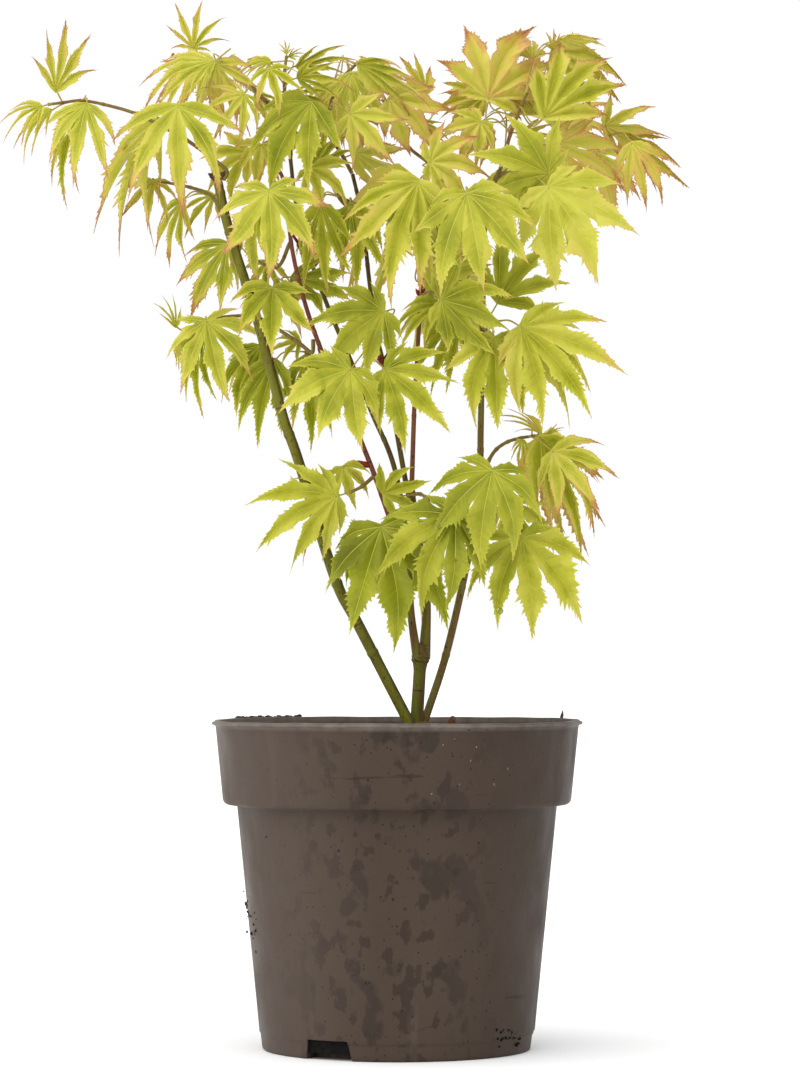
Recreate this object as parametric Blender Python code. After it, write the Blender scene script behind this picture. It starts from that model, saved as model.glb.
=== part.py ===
"""A potted Japanese maple: a round nursery pot filled with compost, a root crown with three
canes, the boughs that the canes fork into, and the sprays of leaves that they carry.

Sizes are in millimetres until a mesh is made. Places on the plant are given on the front
elevation, the upright plane through the pot's axis, as x and z, and a third number says how
far behind that plane the point lies. seen() slides the point along the line of sight of
someone VIEW_DISTANCE in front, so its depth leaves its place on the elevation as it is.
"""

import math
import random
from collections import namedtuple

import bmesh
import bpy
from mathutils import Matrix, Vector
from mathutils.bvhtree import BVHTree

MM = 0.001
CLEAR = 0.3  # the gap between neighbouring solids
UP = Vector((0, 0, 1))
DOWN = -UP

# Where the front elevation is seen from.
VIEW_DISTANCE = 2000
EYE_HEIGHT = 210

# The pot: a 3.5 litre nursery pot with a deep band under its lip.
POT_HEIGHT = 168
LIP_RADIUS = 95
LIP_HEIGHT = 4
BAND_TOP_RADIUS = 93
BAND_FOOT_RADIUS = 89
BAND_FOOT_HEIGHT = 125
WALL_TOP_RADIUS = 82
FOOT_RADIUS = 69.5
FOOT_RING_HEIGHT = 9
FOOT_RING_STEP = 0.6
WALL = 1.6
FLOOR = 3
POT_SIDES = 32

# The drain notches, three in the foot, each a trapezoid cut through wall and floor.
NOTCHES = 3
NOTCH_WIDTH = 27
NOTCH_TOP_WIDTH = 23
NOTCH_HEIGHT = 10
NOTCH_INNER_RADIUS = 58
NOTCH_DIRECTION = math.radians(240)

SOIL_HEIGHT = 156.5

# The root crown: the stool that the canes rise from, flared over the compost.
CROWN_X = 10
CROWN_HEIGHT = 10
CROWN_TOP_RADIUS = 9
CROWN_FOOT_RADIUS = 15
CROWN_ROOTS = 5
CROWN_SIDES = 20
CROWN_TOP = SOIL_HEIGHT + CLEAR + CROWN_HEIGHT

LIMB_SIDES = 7
TWIG_SIDES = 4
PETIOLE_SIDES = 3
TWIG_DIAMETERS = (2.2, 1.5)
PETIOLE_RADIUS = 0.6
STALK_SUNK = 0.6
STALK_HEEL = 0.4
STALK_STEP = 1.7
STALK_STEPS = 3
STALK_ARCH = 0.4
SHORT_STALK = 12

# A leaf: lobes as (degrees from the middle lobe, share of its length), from side to side.
LOBES = {
    5: ((-80, 0.60), (-40, 0.88), (0, 1.0), (40, 0.88), (80, 0.60)),
    7: ((-112, 0.40), (-76, 0.70), (-38, 0.92), (0, 1.0), (38, 0.92), (76, 0.70), (112, 0.40)),
}
SINUS = 0.32  # how far out the cut between two lobes reaches, as a share of their length
SHOULDER = 0.52  # where a lobe is widest
LOBE_HALF_WIDTH = 0.15
CENTRE_THICKNESS = 1.6
RIDGE_THICKNESS = 1.0
HEEL = 0.03
DROOP = 0.16
CUP = 0.14
RIDGED_FROM = 47  # a shorter leaf has flat lobes
LOBE_VARIATION = (0.92, 1.06)
GROWN = 0.45  # how much a leaf is thickened all round when it is tested against others

# Every leaf this long and this near the middle may have its opposite one, which hangs
# towards the back.
TWIN_FROM = 22
TWIN_REACH = 105
TWIN_SHARE = 0.5
TWIN_SIZE = 0.8
TWIN_DEPTHS = (38, 84)
TWIN_LEANS = (25, 55)
SHIFTS = (0, 4, -4, 8, -8, 12, -12, 17, -17, 23, -23, 30, -30, 38)

Limb = namedtuple("Limb", "foot tip fork on route")
Leaf = namedtuple("Leaf", "node x z depth aim size lean roll spread lobes")

# Each limb: its diameter at the foot, near its tip and at its very tip, where a fork swells,
# the limb it stands on with where along it (None for the root crown), and its route.
LIMBS = {
    "left_cane": Limb(
        5.8, 4.8, 4.8, None,
        [
            (6, 167, -6), (-20, 217, -8), (-32, 241, -11), (-51, 302, -17), (-59, 325, -19),
            (-72, 374, -22), (-86, 418, -22), (-93, 448, -20),
        ],
    ),
    "centre_stem": Limb(
        6.8, 6.4, 8.4, None,
        [
            (10, 167, 0), (11, 183, 0), (12, 200, 0),
        ],
    ),
    "centre_left_bough": Limb(
        3.4, 4.2, 6.4, ("centre_stem", 1),
        [
            (10.2, 0, -2), (7, 224, -3), (6, 246, -3),
        ],
    ),
    "centre_right_bough": Limb(
        4.4, 4.4, 6.2, ("centre_stem", 1),
        [
            (14, 0, 1.6), (15, 230, 4), (11, 260, 5), (6, 290, 5),
        ],
    ),
    "stem_one": Limb(
        2.8, 1.9, 1.9, ("centre_left_bough", 1),
        [
            (4.6, 0, -4), (-6, 278, -6), (-14, 300, -8), (-26, 329, -12), (-37, 353, -15),
            (-47, 381, -20), (-54, 410, -22), (-58, 443, -24), (-62, 453, -24),
        ],
    ),
    "stem_two": Limb(
        2.8, 2.0, 2.0, ("centre_left_bough", 1),
        [
            (7.2, 0, -1.4), (-1, 296, 8), (-13, 326, 12), (-24, 353, 15), (-35, 379, 18),
            (-45, 406, 20), (-52, 433, 20), (-55, 457, 18),
        ],
    ),
    "stem_three": Limb(
        2.8, 2.0, 2.0, ("centre_right_bough", 1),
        [
            (4.4, 0, 6.7), (-2, 326, 14), (-7, 351, 20), (-10, 364, 24), (-14, 391, 28),
            (-17, 418, 30), (-20, 436, 30), (-23, 449, 30),
        ],
    ),
    "stem_four": Limb(
        2.6, 2.0, 2.0, ("centre_right_bough", 1),
        [
            (7.6, 0, 4.3), (9, 332, -3), (11, 366, -8), (12, 388, -12), (14, 404, -14),
        ],
    ),
    "upper_left_bough": Limb(
        2.8, 2.0, 2.0, ("stem_three", 0.88),
        [
            (0, 0, 0), (-28, 435, 22), (-36, 448, 14), (-48, 465, 6), (-58, 477, 2),
            (-67, 486, 0),
        ],
    ),
    "right_cane": Limb(
        4.2, 2.6, 2.6, None,
        [
            (14, 167, 6), (25, 201, 8), (35, 244, 9), (42, 281, 8), (43, 317, 6), (44, 374, 3),
            (45, 419, 0), (48, 439, -2), (53, 451, -4),
        ],
    ),
}

# Each spray: the limb that carries it and where along that limb, the route of its stem, and
# its leaves. A leaf has the number of the stem point that its stalk leaves, the place of its
# base, the direction of its middle lobe in degrees anticlockwise from +X, that lobe's length
# as seen from the front, its lean towards the front and its roll in degrees, how widely its
# lobes spread and how many they are.
SPRAYS = {
    "far_left_spray": (
        ("left_cane", 0.97),
        [
            (-88, 451, -20), (-99, 460, -20), (-109, 467, -18), (-116, 471, -16),
            (-134, 480, -14), (-151, 485, -12), (-163, 487, -12), (-172, 486, -14),
            (-180, 485, -16),
        ],
        (
            (8, -176, 492, -18, 80, 37, 10, 20, 0.48, 5),
            (9, -183, 484, -28, 205, 24, 25, 30, 0.6, 5),
            (8, -178, 482, -6, 220, 30, 15, 45, 0.5, 5),
            (7, -160, 485, -28, 258, 39, 28, 0, 0.74, 5),
            (7, -163, 484, 14, 246, 50, -12, 10, 0.3, 5),
            (4, -113, 484, -42, 271, 56, 18, 0, 0.95, 5),
            (5, -123, 477, -6, 241, 71, 14, 45, 0.5, 5),
        ),
    ),
    "left_inner_spray": (
        ("left_cane", 0.9),
        [(-95, 437, -6), (-106, 442, 0), (-126, 446, -4)],
        (
            (3, -126, 445, -16, 262, 25, 20, 0, 1, 7),
            (1, -110, 436, 8, 246, 38, -10, 30, 0.5, 5),
            (1, -94, 438, 16, 222, 25, 20, 20, 0.7, 5),
        ),
    ),
    "yellow_spray": (
        ("stem_two", 1),
        [(-55, 461, 18), (-59, 463, 18)],
        (
            (2, -70, 464, 10, 258, 22, 20, 0, 1.1, 5),
            (2, -76, 460, 28, 203, 31, -15, 10, 0.8, 5),
            (1, -55, 461, 30, 120, 21, 30, 20, 0.7, 5),
        ),
    ),
    "left_face_spray": (
        ("stem_one", 0.965),
        [(-60, 443, -40), (-63, 445, -52)],
        (
            (2, -66, 440, -62, 275, 44, 20, 0, 1.08, 7),
            (1, -72, 433, -26, 262, 39, -5, 30, 0.6, 5),
        ),
    ),
    "left_back_spray": (
        ("stem_one", 0.82),
        [(-62, 401, -4), (-76, 406, 4)],
        (
            (2, -87, 413, 6, 233, 42, -12, 10, 0.7, 5),
            (1, -66, 404, 10, 262, 24, -25, 20, 0.9, 5),
        ),
    ),
    "inner_hanging_spray": (
        ("stem_three", 0.86),
        [(-23, 434, 14), (-30, 437, 4)],
        (
            (2, -39, 433, -20, 272, 46, 14, 10, 0.5, 5),
            (1, -24, 433, -4, 279, 47, 14, 10, 0.5, 5),
        ),
    ),
    "left_mid_spray": (
        ("stem_one", 0.74),
        [(-55, 388, -34)],
        (
            (1, -64, 390, -46, 268, 31, 24, 0, 1.15, 5),
            (1, -54, 396, -10, -6, 34, -14, 48, 0.8, 5),
            (1, -72, 386, -44, 248, 17, 15, 30, 0.8, 5),
        ),
    ),
    "left_lower_spray": (
        ("stem_one", 0.6),
        [
            (-44, 357, -14), (-52, 363, -8), (-70, 374, 0), (-78, 376, 2), (-98, 374, 2),
            (-107, 369, 0), (-111, 365, -2),
        ],
        (
            (5, -98, 373, -10, 283, 42, 12, 0, 1.0, 7),
            (6, -101, 369, 20, 262, 46, -10, 20, 0.34, 5),
            (7, -114, 370, -8, 104, 19, 10, 30, 0.4, 5),
            (7, -112, 362, 2, 266, 14, 10, 40, 0.3, 5),
            (2, -50, 363, 2, 192, 21, 10, 30, 0.8, 5),
            (3, -70, 360, 16, 234, 38, -18, 20, 0.6, 5),
        ),
    ),
    "left_hanging_spray": (
        ("stem_one", 0.57),
        [(-39, 352, -6), (-47, 357, 2)],
        (
            (2, -63, 353, 4, 252, 47, 6, 20, 0.62, 5),
            (2, -47, 355, -2, 277, 48, 8, 10, 0.5, 5),
        ),
    ),
    "centre_spray": (
        ("stem_three", 0.55),
        [(-11, 363, 10), (-13, 361, -14)],
        (
            (2, -24, 348, -46, 236, 38, 26, 0, 1.0, 7),
            (1, -7, 378, -30, 212, 39, 24, 0, 0.92, 7),
            (2, -6, 348, -36, -36, 41, 24, 0, 0.85, 7),
        ),
    ),
    "upper_left_spray": (
        ("upper_left_bough", 1),
        [(-72, 491, 0), (-80, 500, -2), (-99, 507, -4), (-111, 508, -4), (-116, 511, -4)],
        (
            (3, -105, 514, -8, 83, 27, 15, 0, 0.7, 7),
            (3, -95, 507, -30, 190, 42, 10, 45, 0.6, 7),
            (2, -93, 506, -18, -57, 33, 15, 20, 0.72, 5),
            (2, -79, 490, -36, 231, 27, 30, 0, 0.95, 7),
            (1, -73, 491, 14, -44, 24, -15, 30, 0.5, 5),
            (3, -96, 506, 24, 202, 37, -20, 30, 0.6, 5),
        ),
    ),
    "top_left_spray": (
        ("upper_left_bough", 0.8),
        [(-58, 483, -2), (-58, 495, -6), (-58, 502, -8), (-57, 510, -8)],
        (
            (2, -66, 503, -22, 290, 24, 30, 0, 1.0, 5),
            (3, -65, 507, -12, 184, 22, 15, 50, 0.5, 5),
            (3, -52, 505, 4, 17, 32, 10, 50, 0.5, 5),
            (2, -51, 499, -16, 4, 30, 20, 35, 0.6, 5),
            (2, -55, 491, 14, -3, 24, -20, 45, 0.6, 5),
            (4, -57, 511, -8, 95, 8, 0, 0, 0.5, 5),
            (4, -56, 510, -8, 25, 9, 0, 40, 0.5, 5),
        ),
    ),
    "inner_green_spray": (
        ("upper_left_bough", 0.45),
        [(-41, 461, -6), (-42, 473, -16)],
        (
            (1, -45, 452, -16, -22, 25, 15, 0, 1.1, 7),
            (1, -42, 453, 6, 58, 29, -20, 20, 0.5, 5),
            (2, -44, 486, -30, 230, 48, 18, 25, 0.85, 5),
        ),
    ),
    "top_centre_spray": (
        ("stem_three", 1),
        [
            (-29, 460, 26), (-36, 472, 20), (-34, 486, 14), (-29, 498, 8), (-24, 503, 4),
            (-20, 507, 4),
        ],
        (
            (5, -24, 501, 2, 282, 40, 16, 0, 0.72, 5),
            (3, -24, 480, -26, -44, 35, 22, 10, 1.0, 5),
            (6, -20, 506, -16, -20, 40, 18, 45, 0.45, 5),
            (4, -33, 496, 30, 250, 33, -30, 30, 0.6, 5),
            (1, -22, 460, -40, -15, 50, 14, 35, 0.85, 7),
        ),
    ),
    "top_right_spray": (
        ("right_cane", 0.93),
        [(36, 433, -14), (26, 443, -12), (17, 454, -8), (6, 463, -4), (-3, 476, 0), (-7, 487, 2)],
        (
            (6, -4, 488, -12, -38, 35, 24, 0, 0.75, 5),
            (5, 15, 490, 2, 120, 25, 10, 10, 0.42, 5),
            (5, 8, 478, 22, -28, 24, -20, 45, 0.4, 5),
            (3, 17, 455, -32, 4, 30, 24, 0, 0.92, 7),
            (6, -9, 494, 26, 80, 21, -30, 20, 0.8, 5),
        ),
    ),
    "centre_face_spray": (
        ("stem_four", 1),
        [(15, 415, -18), (14, 428, -34), (12, 438, -48)],
        (
            (3, 11, 445, -60, 246, 58, 20, 0, 0.66, 7),
            (1, 17, 393, -28, 24, 34, 20, 15, 0.8, 5),
        ),
    ),
    "centre_mid_spray": (
        ("stem_four", 0.84),
        [(17, 388, -24), (20, 386, -38)],
        (
            (2, 23, 384, -50, -14, 40, 18, 30, 1.0, 7),
            (1, 22, 382, -28, 214, 29, 20, 20, 0.6, 5),
        ),
    ),
    "right_face_spray": (
        ("right_cane", 0.91),
        [(42, 429, -26), (39, 435, -46)],
        (
            (2, 36, 439, -62, 281, 50, 20, 0, 0.9, 7),
            (1, 33, 419, 16, 250, 31, -30, 0, 0.8, 5),
        ),
    ),
    "right_mid_spray": (
        ("right_cane", 0.72),
        [(46, 369, -14), (52, 373, -30)],
        (
            (2, 64, 370, -48, -42, 55, 22, 0, 0.74, 7),
            (1, 50, 364, -40, 272, 42, 20, 0, 0.85, 7),
            (1, 52, 383, 14, 58, 45, -15, 0, 0.7, 5),
            (1, 33, 376, -18, 240, 43, 12, 20, 0.45, 5),
        ),
    ),
    "upper_right_spray": (
        ("right_cane", 1),
        [(56, 461, -6), (59, 472, -8), (62, 479, -8), (64, 484, -10), (67, 491, -12)],
        (
            (3, 47, 488, -6, 72, 47, -12, 0, 0.8, 7),
            (1, 45, 489, 16, 180, 29, -10, 10, 0.72, 5),
            (2, 43, 476, -26, 226, 23, 25, 0, 1.0, 7),
            (4, 76, 478, -34, 56, 57, -18, 0, 0.5, 5),
            (4, 72, 480, -6, 143, 30, -10, 10, 0.3, 5),
            (3, 62, 470, 16, 8, 22, -15, 45, 0.5, 5),
            (5, 80, 512, -8, -24, 44, 12, 25, 0.6, 5),
            (5, 80, 513, -14, 84, 12, 10, 40, 0.6, 5),
            (5, 84, 519, -14, 2, 23, 10, 60, 0.4, 5),
            (5, 70, 508, 8, 110, 19, -20, 30, 0.7, 5),
        ),
    ),
    "right_tip_spray": (
        ("right_cane", 0.985),
        [(61, 453, 10), (76, 457, 14), (94, 464, 8), (110, 468, -2)],
        (
            (4, 107, 474, -8, -2, 34, 16, 40, 0.9, 5),
            (4, 116, 471, 2, -38, 43, 10, 35, 0.42, 5),
            (4, 121, 465, -24, -74, 37, 16, 10, 0.6, 5),
            (2, 81, 464, -12, -20, 46, 14, 15, 0.72, 7),
            (3, 99, 461, 34, -60, 41, -25, 0, 0.8, 5),
        ),
    ),
    "right_leaf_spray": (
        ("right_cane", 0.95),
        [(59, 443, -24), (71, 445, -38)],
        (
            (2, 78, 449, -48, 154, 40, 20, 0, 0.92, 7),
            (2, 78, 442, -60, -53, 52, 18, 0, 0.9, 7),
            (1, 70, 448, -6, 236, 21, 10, 20, 0.7, 5),
        ),
    ),
    "low_arch_spray": (
        ("right_cane", 0.43),
        [(47, 301, 4), (51, 307, 0), (57, 311, -4), (64, 313, -8), (71, 314, -12)],
        (
            (5, 74, 313, -20, 298, 64, 12, 10, 0.42, 5),
            (5, 80, 306, -34, -44, 37, 20, 0, 0.9, 5),
            (5, 74, 315, -6, 137, 25, 10, 40, 0.3, 5),
            (4, 65, 312, -16, 250, 15, 10, 30, 0.6, 5),
            (5, 77, 315, -14, 33, 9, 0, 40, 0.4, 5),
        ),
    ),
    "low_right_spray": (
        ("right_cane", 0.36),
        [(46, 276, -14), (50, 281, -30)],
        (
            (2, 49, 296, -54, 257, 45, 22, 0, 1.0, 7),
            (1, 64, 262, -34, 280, 51, 20, 0, 0.95, 7),
            (1, 56, 281, 20, 300, 31, -30, 0, 0.8, 5),
        ),
    ),
    "low_centre_spray": (
        ("centre_right_bough", 0.93),
        [(12, 284, -14), (17, 281, -40)],
        (
            (2, 30, 273, -66, 236, 50, 20, 0, 0.86, 7),
            (1, -7, 284, -18, 22, 24, 25, 0, 0.9, 5),
            (1, 3, 275, 24, -6, 27, -25, 20, 0.9, 5),
        ),
    ),
    "low_left_spray": (
        ("stem_one", 0.23),
        [(-18, 288, -18), (-24, 285, -26)],
        (
            (2, -31, 283, -34, 198, 45, 22, 0, 0.74, 7),
            (1, -28, 298, -10, 290, 23, 20, 0, 1.0, 5),
        ),
    ),
    "low_front_spray": (
        ("centre_left_bough", 0.9),
        [(1, 252, -20), (-1, 255, -25)],
        (
            (1, -8, 267, -44, 286, 62, 16, 0, 0.9, 7),
            (1, -13, 260, 20, 250, 31, -30, 0, 0.7, 5),
        ),
    ),
}

COLOURS = {
    "pot": ((0.095, 0.072, 0.058), 0.55),
    "potting_compost": ((0.030, 0.020, 0.014), 0.95),
    "root_crown": ((0.110, 0.085, 0.035), 0.80),
    "left_cane": ((0.150, 0.190, 0.045), 0.55),
    "centre_stem": ((0.145, 0.175, 0.035), 0.60),
    "centre_left_bough": ((0.120, 0.140, 0.035), 0.60),
    "centre_right_bough": ((0.120, 0.140, 0.035), 0.60),
    "stem_one": ((0.140, 0.055, 0.030), 0.55),
    "stem_two": ((0.080, 0.045, 0.020), 0.60),
    "stem_three": ((0.075, 0.050, 0.020), 0.60),
    "stem_four": ((0.140, 0.055, 0.030), 0.55),
    "upper_left_bough": ((0.140, 0.130, 0.030), 0.60),
    "right_cane": ((0.150, 0.090, 0.045), 0.60),
}
LEAF_COLOURS = (
    (0.46, 0.50, 0.055),
    (0.52, 0.50, 0.080),
    (0.36, 0.42, 0.030),
    (0.56, 0.52, 0.110),
)
LEAF_ROUGHNESS = 0.5


def seen(x, z, depth):
    """The point that lies `depth` behind the elevation and is seen at x, z on it."""
    scale = (VIEW_DISTANCE + depth) / VIEW_DISTANCE
    return Vector((x * scale, depth, EYE_HEIGHT + (z - EYE_HEIGHT) * scale))


def between(low, high, share):
    return low + (high - low) * share


def smooth(route, steps):
    """The route with `steps` spans between its points, on a Catmull-Rom curve."""
    ends = [2 * route[0] - route[1], *route, 2 * route[-1] - route[-2]]
    points = []
    for i in range(1, len(ends) - 2):
        a, b, c, d = ends[i - 1 : i + 3]
        for step in range(steps):
            t = step / steps
            points.append(
                0.5
                * (
                    2 * b
                    + (c - a) * t
                    + (2 * a - 5 * b + 4 * c - d) * t * t
                    + (3 * b - a - 3 * c + d) * t**3
                )
            )
    points.append(route[-1])
    return points


def tube(route, radii, sides, level_foot=False, level_tip=False):
    """A closed tube along the route. A level end is cut flat, for a joint face."""
    tangents = []
    for i in range(len(route)):
        ahead = route[min(i + 1, len(route) - 1)] - route[max(i - 1, 0)]
        tangents.append(ahead.normalized())
    if level_foot:
        tangents[0] = UP.copy()
    if level_tip:
        tangents[-1] = UP.copy()
    across = tangents[0].orthogonal().normalized()
    points = []
    for centre, tangent, radius in zip(route, tangents, radii):
        across = (across - across.dot(tangent) * tangent).normalized()
        other = tangent.cross(across)
        for i in range(sides):
            turn = 2 * math.pi * i / sides
            points.append(centre + radius * (math.cos(turn) * across + math.sin(turn) * other))
    faces = [list(range(sides))[::-1]]
    for ring in range(len(route) - 1):
        low = ring * sides
        for i in range(sides):
            j = (i + 1) % sides
            faces.append([low + i, low + j, low + sides + j, low + sides + i])
    last = (len(route) - 1) * sides
    faces.append([last + i for i in range(sides)])
    return points, faces


def tree_of(mesh):
    return BVHTree.FromPolygons(mesh[0], mesh[1])


def gap(mesh, other):
    """The least distance between two meshes, read at their corners, or 0 if they cross."""
    if tree_of(mesh).overlap(tree_of(other)):
        return 0
    here = min(tree_of(other).find_nearest(point)[3] for point in mesh[0])
    there = min(tree_of(mesh).find_nearest(point)[3] for point in other[0])
    return min(here, there)


def along(route, share):
    """The point this share of the way along the route."""
    lengths = [(b - a).length for a, b in zip(route, route[1:])]
    left = share * sum(lengths)
    for a, b, length in zip(route, route[1:], lengths):
        if left <= length:
            return a.lerp(b, left / length)
        left -= length
    return route[-1].copy()


def limb_radii(limb, route):
    """The limb's taper, with the swelling of a fork in its last two spans."""
    count = len(route) - 1
    radii = [between(limb.foot, limb.tip, i / count) / 2 for i in range(count + 1)]
    radii[-1] = limb.fork / 2
    return radii


def start_clear(route, make, carrier):
    """The route with its foot drawn out of the carrier until the solids lie CLEAR apart."""
    way = (route[1] - route[0]).normalized()
    foot = route[0].copy()
    while gap(make([foot, *route[1:]]), carrier) < CLEAR:
        foot += 0.1 * way
    return [foot, *route[1:]]


def make_limbs():
    """Each limb's centre line and mesh, by name."""
    lines, meshes = {}, {}
    for name, limb in LIMBS.items():
        route = [seen(*point) for point in limb.route]
        level_foot = limb.on is None or limb.on[1] == 1
        if limb.on is None:
            route[0].z = CROWN_TOP + CLEAR
        elif level_foot:
            route[0].z = lines[limb.on[0]][-1].z + CLEAR

        def make(points, limb=limb, level_foot=level_foot):
            line = smooth(points, 2)
            return tube(line, limb_radii(limb, line), LIMB_SIDES, level_foot, limb.fork > limb.tip)

        if not level_foot:
            route[0] = along(lines[limb.on[0]], limb.on[1])
            route = start_clear(route, make, meshes[limb.on[0]])
        lines[name] = smooth(route, 2)
        meshes[name] = make(route)
    return lines, meshes


def make_stem(spray, lines, meshes):
    """The stem of a spray: its points and its mesh."""
    (carrier, share), rest, _ = spray
    foot = along(lines[carrier], share)
    route = [foot, *(seen(*point) for point in rest)]

    def make(points):
        count = len(points) - 1
        radii = [between(*TWIG_DIAMETERS, i / count) / 2 for i in range(count + 1)]
        return tube(points, radii, TWIG_SIDES)

    route = start_clear(route, make, meshes[carrier])
    return route, make(route)


def leaf_axes(leaf):
    """The leaf's middle lobe, its side and its upper face's normal."""
    aim, lean = math.radians(leaf.aim), math.radians(leaf.lean)
    middle = Vector(
        (math.cos(aim) * math.cos(lean), -math.sin(lean), math.sin(aim) * math.cos(lean))
    )
    front = Vector((0, -1, 0))
    normal = (front - front.dot(middle) * middle).normalized()
    normal = Matrix.Rotation(math.radians(leaf.roll), 3, middle) @ normal
    return middle, middle.cross(normal), normal


def leaf_blade(base, leaf, variation, grown=0.0):
    """A lens-shaped blade: upper and lower faces that meet at a sharp rim."""
    middle, side, normal = leaf_axes(leaf)
    size = leaf.size / math.cos(math.radians(leaf.lean))
    lobes = LOBES[leaf.lobes]
    ridged = leaf.size >= RIDGED_FROM

    def place(turn, reach, across=0.0, lift=0.0):
        way = math.cos(turn) * middle + math.sin(turn) * side
        left = math.cos(turn) * side - math.sin(turn) * middle
        bend = (DOWN - DOWN.dot(way) * way) * DROOP - normal * CUP
        return base + way * reach + bend * reach * reach / size + left * across + normal * lift

    turns = [math.radians(turn * leaf.spread) for turn, _ in lobes]
    reaches = [size * share * vary + grown for (_, share), vary in zip(lobes, variation)]
    nearest = min(b - a for a, b in zip(turns, turns[1:]))
    slant = max(abs(math.cos(math.radians(leaf.aim) + turn)) for turn in turns)
    sheared = DROOP * (SHOULDER - SINUS) * slant
    widest = min(LOBE_HALF_WIDTH, SHOULDER * math.tan(0.46 * nearest - sheared))
    thick = CENTRE_THICKNESS / 2 + grown
    points = [base + normal * thick, base - normal * thick, base - middle * (HEEL * size + grown)]
    rim = [2]
    ridges = []
    for i, (turn, reach) in enumerate(zip(turns, reaches)):
        if i:
            split = (turns[i - 1] + turn) / 2
            points.append(place(split, SINUS * min(reaches[i - 1], reach) + grown))
            rim.append(len(points) - 1)
        half = widest * reach + grown
        first = len(points)
        points.append(place(turn, SHOULDER * reach, -half))
        points.append(place(turn, reach + grown))
        points.append(place(turn, SHOULDER * reach, half))
        rim += [first, first + 1, first + 2]
        if ridged:
            lift = RIDGE_THICKNESS / 2 + grown
            points.append(place(turn, SHOULDER * reach, 0, lift))
            points.append(place(turn, SHOULDER * reach, 0, -lift))
            ridges.append((first, first + 3, first + 4))
    owner = {}
    for first, upper, lower in ridges:
        place_in_rim = rim.index(first)
        for corner in range(place_in_rim - 1, place_in_rim + 3):
            owner[corner] = (upper, lower)
    faces = []
    count = len(rim)
    for i in range(count):
        j = (i + 1) % count
        upper, lower = owner.get(i, (0, 1))
        faces.append([upper, rim[j], rim[i]])
        faces.append([lower, rim[i], rim[j]])
    for first, upper, lower in ridges:
        start = rim.index(first) - 1
        end = (start + 4) % count
        faces.append([0, upper, rim[start]])
        faces.append([0, rim[end], upper])
        faces.append([1, rim[start], lower])
        faces.append([1, lower, rim[end]])
    return points, faces


def stalk(root, base, leaf, grown=0.0):
    """The leaf's stalk: it leaves the stem and comes into the base along the middle lobe."""
    middle = leaf_axes(leaf)[0]
    reach = (base - root).length
    route = [root - middle * STALK_HEEL, base + middle * STALK_SUNK]
    if reach < SHORT_STALK:
        route[0] = root - middle * STALK_SUNK
    else:
        bend = base - middle * STALK_ARCH * reach
        route.insert(1, (root + 2 * bend + base) / 4)
    return tube(route, [PETIOLE_RADIUS + grown] * len(route), PETIOLE_SIDES)


def stalk_root(route, node, count):
    """Stalks leave a stem close under one of its points, a little apart from each other."""
    down = (route[node - 1] - route[node]).normalized()
    return route[node] + down * STALK_STEP * (count % STALK_STEPS)


def twin_of(leaf, dice):
    """The opposite leaf of a pair: smaller, behind, and hanging away from the front."""
    return leaf._replace(
        depth=leaf.depth + dice.uniform(*TWIN_DEPTHS),
        aim=leaf.aim + dice.uniform(-5, 5),
        size=leaf.size * TWIN_SIZE,
        lean=-dice.uniform(*TWIN_LEANS),
        roll=180 - leaf.roll,
        spread=leaf.spread * 0.9,
        lobes=5,
    )


def settle(leaf, root, variation, foreign, own):
    """The leaf's blade and stalk at the first depth where they are clear, or None.

    Neither may touch anything foreign, and the blade keeps off its own spray's blades where
    some depth allows it.
    """
    for near in (own, []):
        for shift in SHIFTS:
            base = seen(leaf.x, leaf.z, leaf.depth + shift)
            blade = tree_of(leaf_blade(base, leaf, variation, GROWN))
            if any(blade.overlap(other) for other in foreign + near):
                continue
            held = tree_of(stalk(root, base, leaf, GROWN))
            if not any(held.overlap(other) for other in foreign):
                return leaf_blade(base, leaf, variation), stalk(root, base, leaf)
    return None


def grow_leaves(name, rows, route, foreign):
    """The blades and stalks of one spray, with an opposite leaf for some."""
    dice = random.Random(name)
    pieces, own = [], []
    for row in rows:
        leaves = [Leaf(*row)]
        inner = leaves[0].size >= TWIN_FROM and abs(leaves[0].x) < TWIN_REACH
        if inner and dice.random() < TWIN_SHARE:
            leaves.append(twin_of(leaves[0], dice))
        for leaf in leaves:
            variation = [dice.uniform(*LOBE_VARIATION) for _ in range(leaf.lobes)]
            root = stalk_root(route, leaf.node, len(own))
            settled = settle(leaf, root, variation, foreign, own)
            if settled:
                pieces += settled
                own.append(tree_of(settled[0]))
    return pieces


def make_sprays(lines, limb_meshes):
    """The meshes of each spray: its stem, then a blade and a stalk for each leaf."""
    stems = {name: make_stem(spray, lines, limb_meshes) for name, spray in SPRAYS.items()}
    stem_trees = {name: tree_of(mesh) for name, (_, mesh) in stems.items()}
    standing = [tree_of(mesh) for mesh in limb_meshes.values()]
    sprays = {}
    for name, (_, _, rows) in SPRAYS.items():
        route, stem = stems[name]
        others = [tree for other, tree in stem_trees.items() if other != name]
        pieces = grow_leaves(name, rows, route, standing + others)
        standing += [tree_of(piece) for piece in pieces]
        sprays[name] = [stem, *pieces]
    return sprays


def material(name, colour, roughness):
    made = bpy.data.materials.new(name)
    made.use_nodes = True
    shader = made.node_tree.nodes["Principled BSDF"]
    shader.inputs["Base Color"].default_value = (*colour, 1)
    shader.inputs["Roughness"].default_value = roughness
    shader.inputs["Metallic"].default_value = 0
    made.diffuse_color = (*colour, 1)
    return made


def add_object(name, points, faces, paint=None, collection=None):
    mesh = bpy.data.meshes.new(name)
    mesh.from_pydata([point * MM for point in points], [], faces)
    if paint:
        mesh.materials.append(paint)
    made = bpy.data.objects.new(name, mesh)
    (collection or bpy.context.scene.collection).objects.link(made)
    return made


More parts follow.
